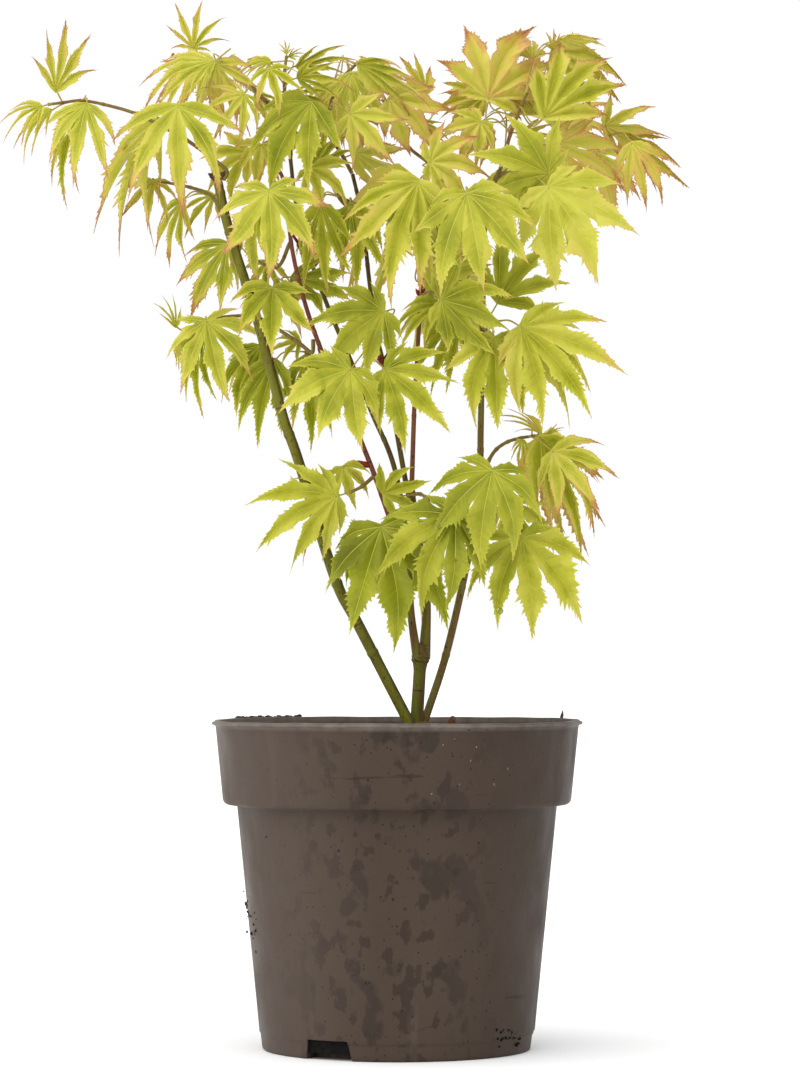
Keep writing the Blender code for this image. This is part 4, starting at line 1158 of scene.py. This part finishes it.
def compost_material():
    """Crumbly brown compost, with painted shade making it nearly black low down, where it shows
    through the notches.
    """
    paint = Paint("compost", 0.95, Specular_IOR_Level=0.2)
    grain = paint.noise(420, detail=8)
    base = paint.ramp(grain, (0.35, "1C140F"), (0.55, "35271D"), (0.72, "5A4432"))
    # Painted shade: near black from 60 mm down, fully below 20 mm, for the dark inside seen through
    # the notches.
    base = paint.over(base, paint.zone("Z", (20, 1), (60, 0)), "070504")
    paint.feed(paint.shader, Base_Color=base)
    paint.roughen(grain, 0.8, 1.0)
    paint.emboss(grain, 0.8)
    return paint.made


def water_material(name, tint):
    paint = Paint(name, 0.03, IOR=1.33, Base_Color=colour(tint), Transmission_Weight=1)
    paint.roughen(paint.noise(300), 0.01, 0.05)
    return paint.made


# Twigs and leaves.

# Single leaves painted darker or paler than their spray, as painted shade and painted light for the
# way they point.
LEAF_PAINTED_LIGHT_AND_SHADE = {
    ("upper_right_spray", 56): -0.9,
    ("upper_right_spray", 72): 0.8,
    ("far_left_spray", 80): 1.1,
    ("upper_left_spray", 83): 1.0,
    ("left_mid_spray", 268): -0.5,
    ("right_mid_spray", -42): 0.3,
    ("right_mid_spray", 272): 0.8,
    ("centre_face_spray", 246): 0.4,
}
GOLD_SPRAYS = "yellow top_left top_centre top_right right_tip upper_left far_left upper_right " \
              "left_lower low_arch"
OLIVE_SPRAYS = "inner_hanging left_back inner_green"
STALK_RADIUS = 0.42
STALK_SWELL = 0.22
TWIG_RING = 0.22
TONE_SPREAD = 0.7
TINT_SPREAD = (0.7, 1.2)


def slot_of(name):
    short = name.removesuffix("_spray")
    if short in GOLD_SPRAYS.split():
        return "leaf_gold"
    return "leaf_olive" if short in OLIVE_SPRAYS.split() else "leaf_lime"


def petiole_mesh(placed):
    """A leaf's stalk as the plain one runs, round and swollen a little at both ends."""
    line, far = resampled(stalk_route(placed.root, placed.base, placed.leaf), 1.6)
    share = far / far[-1]
    radii = STALK_RADIUS + STALK_SWELL * hump(share, 0.07) + 0.12 * hump(1 - share, 0.05)
    return fine_tube(line, radii, 8)


def twig_mesh(route, dice):
    """A spray's stem, with a ring where each pair of stalks leaves it."""
    line, far = resampled(route, 1.0)
    radii = np.interp(far, (0, far[-1]), [d / 2 for d in TWIG_DIAMETERS])
    for point in route[1:]:
        at = far[np.argmin(np.linalg.norm(line - np.array(point), axis=1))]
        radii += TWIG_RING * hump(far - at, 0.9)
    radii *= 1 + 0.03 * np.sin(far * 1.7 + dice.uniform(0, 6))
    return fine_tube(line, radii, 10)


def make_sprays(sprays, leaf_paints, twig_paints):
    """The sprays' leaves and twigs, and a search tree of the lowest leaves."""
    low = Shape()
    for name, (route, placed) in sprays.items():
        dice = random.Random("fine " + name)
        form = SPRAYS[name].form
        leaves, twigs = Shape(), Shape(*twig_mesh(route, dice))
        for one in placed:
            tone = form.tone + dice.uniform(-TONE_SPREAD, TONE_SPREAD)
            tone += YOUNG_PALER * max(0, 1 - one.leaf.size / FULL_GROWN)
            # Painted light and painted shade for single leaves, by the way they point.
            tone += LEAF_PAINTED_LIGHT_AND_SHADE.get((name, one.leaf.aim), 0)
            tint = form.tint * dice.uniform(*TINT_SPREAD)
            leaves.add(*blade_surfaces(one, dice, form, tone, tint))
            twigs.add(*petiole_mesh(one), 1)
        if name.startswith("low_"):
            low.add(np.vstack(leaves.points), leaves.faces)
        leaves.make(name + "_leaves", leaf_paints, slot_of(name), 60, [name])
        twigs.make(name + "_twigs", twig_paints, "bark_brown")
    return BVHTree.FromPolygons(np.vstack(low.points).tolist(), low.faces)


# The pot.

AXIS = 0.01  # the radius that a turned outline starts and ends with
JUST_UNDER = BAND_FOOT_HEIGHT - 0.01
STEP_HEIGHT = BAND_FOOT_HEIGHT + WALL


def pot_radius(height, band_top_height):
    """The wall's radius at a height, with the band as wide as it gets at `band_top_height`."""
    if height < BAND_FOOT_HEIGHT:
        return between(FOOT_RADIUS, WALL_TOP_RADIUS, height / BAND_FOOT_HEIGHT)
    rise = (height - BAND_FOOT_HEIGHT) / (band_top_height - BAND_FOOT_HEIGHT)
    return between(BAND_FOOT_RADIUS, BAND_TOP_RADIUS, min(1, rise))


def inner_radius(height):
    return pot_radius(height, POT_HEIGHT) - WALL


def rounded(corners, steps=4):
    """The outline with each corner, given as (radius, height, rounding), drawn round."""
    outline = []
    for i, (*here, rounding) in enumerate(corners):
        here = np.array(here)
        if not rounding:
            outline.append(here)
            continue
        ways = [np.array(corners[i + k][:2]) - here for k in (-1, 1)]
        start, end = (here + unit(way) * min(rounding, np.linalg.norm(way) / 2) for way in ways)
        for t in np.arange(steps + 1) / steps:
            outline.append((1 - t) ** 2 * start + 2 * t * (1 - t) * here + t * t * end)
    return outline


def divided(outline, longest):
    """The outline with its long runs divided, so that the relief has points to move."""
    points = [outline[0]]
    for a, b in zip(outline, outline[1:]):
        count = max(1, math.ceil(math.dist(a, b) / longest))
        points += [between(a, b, k / count) for k in range(1, count + 1)]
    return points


def pot_outline():
    """The pot's section, from the axis on its floor over the lip to the axis beneath."""
    ring_radius = between(FOOT_RADIUS, WALL_TOP_RADIUS, FOOT_RING_HEIGHT / BAND_FOOT_HEIGHT)
    corners = (
        (AXIS, FLOOR, 0),
        (inner_radius(FLOOR), FLOOR, 2),
        (inner_radius(JUST_UNDER), STEP_HEIGHT, 1),
        (inner_radius(STEP_HEIGHT), STEP_HEIGHT, 1),
        (inner_radius(POT_HEIGHT), POT_HEIGHT, 0.5),
        (LIP_RADIUS - 1.4, POT_HEIGHT, 0.3),
        (LIP_RADIUS - 1.3, POT_HEIGHT - 0.7, 0.2),
        (LIP_RADIUS, POT_HEIGHT - 0.9, 0.3),
        (LIP_RADIUS, POT_HEIGHT - 1.9, 0.4),
        (BAND_TOP_RADIUS + 0.3, POT_HEIGHT - 2.4, 0.3),
        (BAND_TOP_RADIUS, POT_HEIGHT - 3.2, 0.4),
        (BAND_FOOT_RADIUS, BAND_FOOT_HEIGHT, 3.0),
        (WALL_TOP_RADIUS, BAND_FOOT_HEIGHT, 1.2),
        (ring_radius, FOOT_RING_HEIGHT, 0.4),
        (ring_radius - FOOT_RING_STEP, FOOT_RING_HEIGHT - 1, 0.4),
        (FOOT_RADIUS - FOOT_RING_STEP, 0, 1.6),
        (AXIS, 0, 0),
    )
    return divided(rounded(corners), 3)


def turned_mesh(outline, sides, ripple=None):
    """A closed shape turned round +Z from an outline that starts and ends on the axis."""
    turns = circle(sides)
    r, z = (np.repeat(places[:, None], sides, axis=1) for places in np.array(outline).T)
    if ripple:
        r, z = ripple(r, z, turns[None])
    points = np.stack((r * np.cos(turns), r * np.sin(turns), z), axis=-1)
    return points.reshape(-1, 3), ring_faces(len(outline), sides)


def pot_ripple(r, z, turn):
    """The moulding's slight unevenness, more at the thin lip."""
    thin = np.clip((z - 150) / 18, 0, 1)
    r = r * (1 + 0.0012 * np.sin(2 * turn + 1) + 0.0008 * thin * np.sin(5 * turn + 2))
    z = z + 0.25 * thin * np.sin(3 * turn + 0.6) + 0.08 * thin * np.sin(17 * turn)
    return r, z


def notch_cutter():
    """The wedges that the drain notches are cut with."""
    section = (
        (-NOTCH_WIDTH, -1), (NOTCH_WIDTH, -1),
        (NOTCH_TOP_WIDTH, NOTCH_HEIGHT), (-NOTCH_TOP_WIDTH, NOTCH_HEIGHT),
    )
    points, faces = [], []
    for i in range(NOTCHES):
        turn = Matrix.Rotation(NOTCH_DIRECTION + 2 * math.pi * i / NOTCHES, 3, "Z")
        *sides, near, far = ring_faces(2, 4)
        faces += [[corner + len(points) for corner in face] for face in (near, far, *sides)]
        for radius in (NOTCH_INNER_RADIUS, FOOT_RADIUS + 10):
            points += [turn @ Vector((radius, width / 2, z)) * MM for width, z in section]
    mesh = bpy.data.meshes.new("drain_notch_cutter")
    mesh.from_pydata(points, [], faces)
    return placed_object("drain_notch_cutter", mesh)


def make_pot():
    shape = Shape(*turned_mesh(pot_outline(), POT_SIDES, pot_ripple))
    pot = shape.make("pot_shell", [pot_material()], "pot_plastic", 40, ["pot"])
    cut = pot.modifiers.new("drain_notches", "BOOLEAN")
    cut.operation = "DIFFERENCE"
    cut.solver = "EXACT"
    cut.object = notch_cutter()
    bpy.context.view_layer.objects.active = pot
    bpy.ops.object.modifier_apply(modifier=cut.name)
    bpy.data.objects.remove(bpy.data.objects["drain_notch_cutter"])
    pot.data.set_sharp_from_angle(angle=math.radians(40))


# Compost.

COMPOST_RINGS = 56
COMPOST_SIDES = 168
COMPOST_SUNK = 0.6  # how far the crumbly top lies under the solid's flat one


def bumps(points, seed, count, low, high):
    """A smooth seeded relief: the mean of waves in several directions."""
    dice = random.Random(seed)
    total = np.zeros(len(points))
    for _ in range(count):
        way = unit(np.array([dice.gauss(0, 1) for _ in range(3)]))
        total += np.sin(points @ way * dice.uniform(low, high) + dice.uniform(0, 6.3))
    return total / math.sqrt(count)


def make_compost(paint):
    """The compost's filling, with a crumbly top."""
    low = FLOOR + CLEAR
    edge = inner_radius(SOIL_HEIGHT) - CLEAR
    rings = range(1, COMPOST_RINGS + 1)
    outline = [
        (AXIS, SOIL_HEIGHT),
        *((edge * ring / COMPOST_RINGS, SOIL_HEIGHT) for ring in rings),
        (inner_radius(STEP_HEIGHT) - CLEAR, STEP_HEIGHT + CLEAR),
        (inner_radius(JUST_UNDER) - CLEAR, STEP_HEIGHT + CLEAR),
        (inner_radius(low) - CLEAR, low),
        (AXIS, low),
    ]
    points, faces = turned_mesh(outline[::-1], COMPOST_SIDES)
    top = points[:, 2] > SOIL_HEIGHT - 0.01
    crumbs = bumps(points, "crumbs", 40, 0.9, 2.2) * 0.55
    crumbs += bumps(points, "lumps", 12, 0.15, 0.5) * 0.8
    points[top, 2] += crumbs[top] - COMPOST_SUNK
    shape = Shape(points, faces)
    shape.make("compost_filling", [paint], "compost", 80, ["potting_compost"])


# Limbs.

SUNK = 1.2  # how far a limb's foot runs on into what carries it
CUT_END = 3.0
CUT_EDGE = 0.6
FORKED = ("centre_left_bough", "centre_right_bough")
FORK_SWELL = 0.35
FORK_SWELL_REACH = 14
TIP_SWELL_REACH = 8
NODE_SPACING = (34, 44)
NODE_SWELL = 0.1
NODE_GROOVE = 0.05
CROWN_RINGS = 14
CROWN_SIDES = 96


def shown_heights(line):
    """The heights on the elevation that a line's points show at."""
    return EYE_HEIGHT + (line[:, 2] - EYE_HEIGHT) * VIEW_DISTANCE / (VIEW_DISTANCE + line[:, 1])


def limb_bark_radii(name, far, dice):
    """The radii of a limb's bark: its taper, its nodes and the swellings of a fork."""
    limb, length = LIMBS[name], far[-1]
    radii = between(limb.foot, limb.tip, far / length) / 2
    swelling = np.clip(1 - (length - far) / TIP_SWELL_REACH, 0, 1)
    radii += (limb.fork / 2 - radii) * swelling * swelling * (3 - 2 * swelling)
    nodes = [spray.on[1] * length for spray in SPRAYS.values() if spray.on[0] == name]
    spacing = dice.uniform(*NODE_SPACING)
    for at in (*nodes, *np.arange(spacing, length - 8, spacing)):
        radii += NODE_SWELL * radii * hump(far - at, 1.1)
        radii -= NODE_GROOVE * radii * hump(far - at - 1.8, 0.5)
    if name in FORKED:
        radii *= 1 + FORK_SWELL * hump(far, FORK_SWELL_REACH)
    return radii


def make_limb_barks(routes, scar_paints):
    """The limbs' barks, and the centre line of each of them."""
    lines = {}
    for name, route in routes.items():
        limb = LIMBS[name]
        dice = random.Random("bark " + name)
        line, far = resampled(route, 0.9)
        lines[name] = line
        radii = limb_bark_radii(name, far, dice)
        upright = limb.on is None or limb.on[1] == 1
        way = np.array(UP) if upright else unit(line[1] - line[0])
        line = np.vstack((line[:1] - way * SUNK, line))
        radii = np.concatenate((radii[:1], radii))
        sides = 24 if limb.foot > 4 else 16
        turns = circle(sides)
        wobble = 1 + 0.02 * np.sin(2 * turns + dice.uniform(0, 6)) + 0.012 * np.sin(5 * turns)
        points, faces = fine_tube(line, radii[:, None] * wobble, sides)
        marks = np.zeros(len(line), int)
        for height in limb.scars:
            marks[np.argmin(abs(shown_heights(line) - height))] = 1
        if name == "left_cane":
            beyond = np.concatenate(([0], far)) - far[-1] + CUT_END
            marks[beyond > 0] = 1
            marks[abs(beyond + CUT_EDGE) < 0.5] = 2
        marks = np.repeat(marks[:-1], sides).tolist() + [0, int(marks[-1])] * sides
        slot, *colours = limb.bark.split()
        paints = [bark_material(name + "_bark", *colours), *scar_paints]
        Shape(points, faces, marks).make(name + "_bark", paints, slot, 60, [name])
    return lines


def make_crown(paint):
    """The flared stool, ridged over its roots."""
    foot = SOIL_HEIGHT - 1.5
    height = CROWN_TOP + 0.3 - foot
    turns = circle(CROWN_SIDES)
    points = []
    for rise in np.arange(CROWN_RINGS + 1) / CROWN_RINGS:
        flare = (1 - rise) ** 2
        lobe = 1 - 0.25 * flare * (1 - np.cos(CROWN_ROOTS * turns))
        fine = 1 + 0.02 * np.sin(17 * turns + 5 * rise) + 0.015 * np.sin(29 * turns - 9 * rise)
        radius = between(CROWN_TOP_RADIUS, CROWN_FOOT_RADIUS, flare) * lobe * fine
        radius *= 1 - 0.25 * rise**6
        level = np.full(CROWN_SIDES, foot + height * rise)
        points.append((CROWN_X + radius * np.cos(turns), radius * np.sin(turns), level))
    points = np.array(points).transpose(0, 2, 1)
    shape = Shape(points, ring_faces(CROWN_RINGS + 1, CROWN_SIDES))
    shape.make("root_crown_bark", [paint], "bark_brown", 60, ["root_crown"])


# Small things on the limbs, the pot and the compost. Places are on the front elevation.

# A bud's limb, the height where it sits, its tip and its width.
BUDS = (
    ("stem_one", 298.5, (-24.0, 301), 3.4),
    ("stem_two", 404, (-52, 413), 3.2),
    ("stem_two", 405, (-47.5, 415.5), 2.8),
    ("stem_two", 404, (-40, 412), 3.0),
    ("stem_two", 401, (-38.5, 407), 2.4),
    ("stem_three", 351, (-12, 357), 2.6),
    ("stem_three", 351, (-4.5, 357.5), 2.6),
    ("stem_four", 386, (14.5, 390.5), 2.4),
    ("stem_four", 386, (9.5, 390), 2.2),
    ("right_cane", 365, (45.5, 369.5), 2.2),
)
BUD_ROWS = 22
BUD_SIDES = 14
SPRIG_FOOT_Z = 403
SPRIG = ((-54, 418), (-56.5, 425))
CANE_KNOBS = ((-97.5, 449.5), (-88.5, 450.5))
COLLAR_Z = 200.5
COLLAR_RADII = (3.0, 3.4, 4.3, 4.6, 4.3, 4.2, 3.6)
COLLAR_STEP = 2.1
COLLAR_SIDES = 40
COLLAR_WAY = (0.06, 0, 1)
CRUMBS = 520
CHIP_EVERY = 13
CHIP = ((26.0, 160), (30.5, 170.2))
SPIKE = ((84, 166.5), (85.2, 173.2))
RIM_CRUMBS = 34
FOOT_CRUMBS = 34
DROPLETS = (
    (30, 158), (41, 154), (38, 147), (43, 147), (46, 163), (37, 163), (24, 155), (32, 135),
    (18, 130), (50, 135), (57, 143),
)
SPECKS = ((-15, 137), (-2, 76), (4, 71), (42, 105), (-16, 33), (-30, 101), (-67, 108))
WALL_CRUMBS = ((-77, 76), (-76, 71), (-74.5, 68), (-74.5, 62), (-73.5, 54))
LEAF_DROPS = ((12, 270), (13, 254), (22, 267), (30, 250), (37, 235), (53, 224))
DROP_ROWS = 7
DROP_SIDES = 14
# The water on the pot is tinted dark brown as painted shade, so its drops show as dark beads.
WATER_TINTS = {"water_on_pot": (0.3, 0.26, 0.23), "water_on_leaf": (0.9, 0.9, 0.8)}


def bud_mesh(foot, tip, width):
    """A plump pointed bud, with the edges of its scales standing out."""
    share = np.linspace(0, 1, BUD_ROWS)
    route = np.outer(1 - share, foot) + np.outer(share, tip)
    swell = np.sin(math.pi * (0.14 + 0.86 * share)) ** 0.8 * (1 - 0.3 * share)
    steps = (share[:, None] * 3 + 0.25 * np.cos(2 * circle(BUD_SIDES))) % 1
    radii = width / 2 * np.maximum(swell, 0.02)[:, None] * (1 + 0.18 * steps)
    return fine_tube(route, radii, BUD_SIDES)


def on_limb(line, height):
    """The point of a limb's centre line that shows at a height of the elevation."""
    return line[np.argmin(abs(shown_heights(line) - height))]


def on_pot(x, z):
    """The point of the pot's outer face that shows at a place, and the way it faces."""
    depth = -80.0
    for _ in range(12):
        point = seen(x, z, depth)
        radius = pot_radius(point.z, POT_HEIGHT - LIP_HEIGHT)
        depth = -math.sqrt(max(1.0, radius * radius - point.x * point.x))
    point = seen(x, z, depth)
    return np.array(point), unit(np.array((point.x, point.y, 6.0)))


def ball_mesh():
    """A ball of small facets, one unit in radius."""
    ball = bmesh.new()
    bmesh.ops.create_icosphere(ball, subdivisions=2, radius=1)
    points = np.array([tuple(corner.co) for corner in ball.verts])
    faces = [tuple(corner.index for corner in face.verts) for face in ball.faces]
    ball.free()
    return points, faces


def lump_mesh(ball, centre, sizes, dice):
    """An irregular crumb, turned at random."""
    points, faces = ball
    rough = np.array([1 + dice.uniform(-0.22, 0.22) for _ in points])
    turn = Matrix.Rotation(dice.uniform(0, 6.3), 3, "Z")
    turn = turn @ Matrix.Rotation(dice.uniform(-0.6, 0.6), 3, "X")
    return centre + (points * rough[:, None] * sizes) @ np.array(turn).T, faces


def drop_mesh(centre, facing, radius):
    """A water drop standing on a surface."""
    facing = np.array(facing)
    across = unit(np.cross(facing, (0.3, 0.2, 1)))
    other = np.cross(facing, across)
    turns = circle(DROP_SIDES)
    ring = np.outer(np.cos(turns), across) + np.outer(np.sin(turns), other)
    rounds = []
    for row in range(DROP_ROWS):
        rise = row / (DROP_ROWS - 1) * 0.96 * math.pi / 2
        rounds.append(centre + radius * (math.cos(rise) * ring + 0.6 * math.sin(rise) * facing))
    return rounds, ring_faces(DROP_ROWS, DROP_SIDES)


def make_buds(lines, paints):
    """The red buds, the half-opened sprig on stem_two and the knobs of the left cane's end."""
    shape = Shape()
    for name, height, (x, z), width in BUDS:
        foot = on_limb(lines[name], height)
        shape.add(*bud_mesh(foot, np.array(seen(x, z, foot[1] - 1.0)), width))
    foot = on_limb(lines["stem_two"], SPRIG_FOOT_Z)
    middle, tip = (np.array(seen(x, z, foot[1])) for x, z in SPRIG)
    shape.add(*fine_tube(np.linspace(foot, middle, 12), np.full(12, 0.8), 10))
    shape.add(*bud_mesh(middle, tip, 2.6))
    foot = on_limb(lines["left_cane"], CANE_KNOBS[0][1] - 3)
    for x, z in CANE_KNOBS:
        shape.add(*bud_mesh(foot, np.array(seen(x, z, foot[1] - 0.6)), 3.4), 1)
    shape.make("stem_buds", paints, "bark_brown", 40)


def make_collar(lines, paint):
    """The swollen ring of old bark where the centre stem forks."""
    centre = on_limb(lines["centre_stem"], COLLAR_Z)
    count = len(COLLAR_RADII)
    steps = (np.arange(count) - count // 2) * COLLAR_STEP
    fine = np.linspace(steps[0], steps[-1], 5 * count)[:, None]
    radii = np.interp(fine, steps, COLLAR_RADII)
    turns = circle(COLLAR_SIDES)
    rough = 1 + 0.05 * np.sin(7 * turns + 1.7 * fine) * np.sin(3 * turns + 1)
    rough = rough + 0.03 * np.sin(2.9 * fine)
    shape = Shape(*fine_tube(centre + fine * COLLAR_WAY, radii * rough, COLLAR_SIDES))
    shape.make("centre_fork_collar", [paint], "bark_brown", 50)


def make_crumbs(compost_paint, chip_paint):
    """Loose compost and bark chips in the pot, and the dirt on its rim, wall and foot."""
    dice = random.Random("loose crumbs")
    ball = ball_mesh()
    crumbs, dirt = Shape(), Shape()
    edge = inner_radius(SOIL_HEIGHT) - 3
    for i in range(CRUMBS):
        reach = edge * math.sqrt(dice.random())
        turn = dice.uniform(0, 2 * math.pi)
        size = dice.uniform(0.7, 2.3)
        sizes = (size, size * dice.uniform(0.6, 1), size * dice.uniform(0.4, 0.8))
        chip = i % CHIP_EVERY == 0
        if chip:
            sizes = (dice.uniform(2.5, 5), dice.uniform(1, 2), 0.6)
        centre = (reach * math.cos(turn), reach * math.sin(turn), SOIL_HEIGHT + 0.4 + dice.random())
        crumbs.add(*lump_mesh(ball, centre, sizes, dice), int(chip))
    low, high = (np.array(seen(x, z, 6)) for x, z in CHIP)
    sizes = (2.2, 0.9, 0.5 * np.linalg.norm(high - low))
    crumbs.add(*lump_mesh(ball, (low + high) / 2, sizes, dice), 1)
    crumbs.make("compost_crumbs", [compost_paint, chip_paint], "compost", 30)
    for x in np.linspace(-84, -52, RIM_CRUMBS):
        depth = math.sqrt((LIP_RADIUS - 1.5) ** 2 - x * x) + dice.uniform(-0.8, 0.8)
        size = dice.uniform(0.4, 1.3)
        centre = (x + dice.uniform(-0.6, 0.6), depth, POT_HEIGHT + 0.3 * size)
        dirt.add(*lump_mesh(ball, centre, (size * 1.3, size, 0.7 * size), dice))
    clinging = [(x + dice.gauss(0, 1.5), z + dice.gauss(0, 3)) for x, z in WALL_CRUMBS * 5]
    for x, z in (*clinging, *SPECKS):
        size = 0.55 if (x, z) in SPECKS else dice.uniform(0.3, 1.1)
        sizes = (size, 0.6 * size, size * dice.uniform(0.8, 1.3))
        dirt.add(*lump_mesh(ball, on_pot(x, z)[0], sizes, dice))
    for _ in range(FOOT_CRUMBS):
        point, _ = on_pot(dice.uniform(50, 66), dice.uniform(0.5, 10))
        size = dice.uniform(0.2, 0.9)
        dirt.add(*lump_mesh(ball, point, (size, 0.5 * size, size), dice))
    dirt.add(*bud_mesh(*(np.array(seen(x, z, 42)) for x, z in SPIKE), 1.9))
    dirt.make("pot_dirt", [compost_paint], "compost", 30)


def make_drops(leaf_tree):
    """Water drops on the pot and on the lowest leaves."""
    dice = random.Random("drops")
    water = [water_material(name, tint) for name, tint in WATER_TINTS.items()]
    pot_drops, leaf_drops = Shape(), Shape()
    for x, z in DROPLETS:
        pot_drops.add(*drop_mesh(*on_pot(x, z), dice.uniform(0.3, 0.6)))
    eye = Vector((EYE_X, -VIEW_DISTANCE, EYE_HEIGHT))
    for x, z in LEAF_DROPS:
        point, facing, _, _ = leaf_tree.ray_cast(eye, (seen(x, z, 0) - eye).normalized())
        if point:
            facing = facing if facing.y < 0 else -facing
            leaf_drops.add(*drop_mesh(np.array(point), facing, dice.uniform(0.9, 1.7)))
    pot_drops.make("pot_droplets", water[:1], "pot_plastic", 180)
    leaf_drops.make("leaf_droplets", water[1:], "leaf_lime", 180)


# Floor, lights and camera.

FLOOR_REACH = 40
FLOOR_GREY = 0.94
WORLD_STRENGTH = 1.01
KEY_PLACE = (-0.5, -0.5, 0.75)
KEY_STRENGTH = 1.8
KEY_SOFTNESS = math.radians(100)


def make_studio():
    """A pale floor, an even white surround and a soft light from the upper left."""
    mesh = bpy.data.meshes.new("studio_floor")
    low, high = -FLOOR_REACH, FLOOR_REACH
    corners = [(low, low, 0), (high, low, 0), (high, high, 0), (low, high, 0)]
    mesh.from_pydata(corners, [], [(0, 1, 2, 3)])
    mesh.materials.append(Paint("studio_floor", 0.9, Base_Color=colour(FLOOR_GREY)).made)
    placed_object("studio_floor", mesh)
    world = bpy.data.worlds.new("studio")
    world.use_nodes = True
    background = world.node_tree.nodes["Background"]
    background.inputs["Color"].default_value = colour(1)
    background.inputs["Strength"].default_value = WORLD_STRENGTH
    bpy.context.scene.world = world
    data = bpy.data.lights.new("soft_key_light", "SUN")
    data.energy = KEY_STRENGTH
    data.angle = KEY_SOFTNESS
    light = placed_object("soft_key_light", data)
    light.rotation_euler = Vector(KEY_PLACE).to_track_quat("Z", "Y").to_euler()


def make_camera():
    """The camera that the front elevation was drawn for."""
    data = bpy.data.cameras.new("photo_view")
    data.lens = LENS
    data.sensor_width = SENSOR
    camera = placed_object("photo_view", data)
    camera.location = (EYE_X * MM, -VIEW_DISTANCE * MM, EYE_HEIGHT * MM)
    camera.rotation_euler = (TILT, 0, 0)
    bpy.context.scene.camera = camera


def main():
    bpy.context.scene.view_settings.view_transform = "Standard"
    make_camera()
    make_studio()
    make_pot()
    compost_paint = compost_material()
    make_compost(compost_paint)
    make_crown(bark_material("root_crown_bark", "4E3A20", "5A4C26", "2C1E12", roughness=0.7))
    routes, lines, meshes = make_limbs()
    scar_paints = [
        bark_material("leaf_scars", "5A4426", "3E2C1A", "261810"),
        bark_material("cut_bark_edge", "8C8658", "7A744A", "4A3A22"),
    ]
    limb_lines = make_limb_barks(routes, scar_paints)
    bud_paint = bark_material("bud_scales", "8C2C24", "5E201A", "341210")
    make_buds(limb_lines, [bud_paint, scar_paints[0]])
    make_collar(limb_lines, bark_material("old_bark_ring", "605624", "4C3A1C", "24150E"))
    chip_paint = bark_material("bark_chip", "64402A", "4A2C1C", "2E180F", roughness=0.8)
    make_crumbs(compost_paint, chip_paint)
    twig_paints = [
        bark_material("twig_bark", "7C7432", "7E5C36", "4A2E1C"),
        bark_material("petiole", "A6A042", "A88A46", "8A5C36"),
    ]
    low_leaves = make_sprays(grow_sprays(lines, meshes), leaf_materials(), twig_paints)
    make_drops(low_leaves)


main()
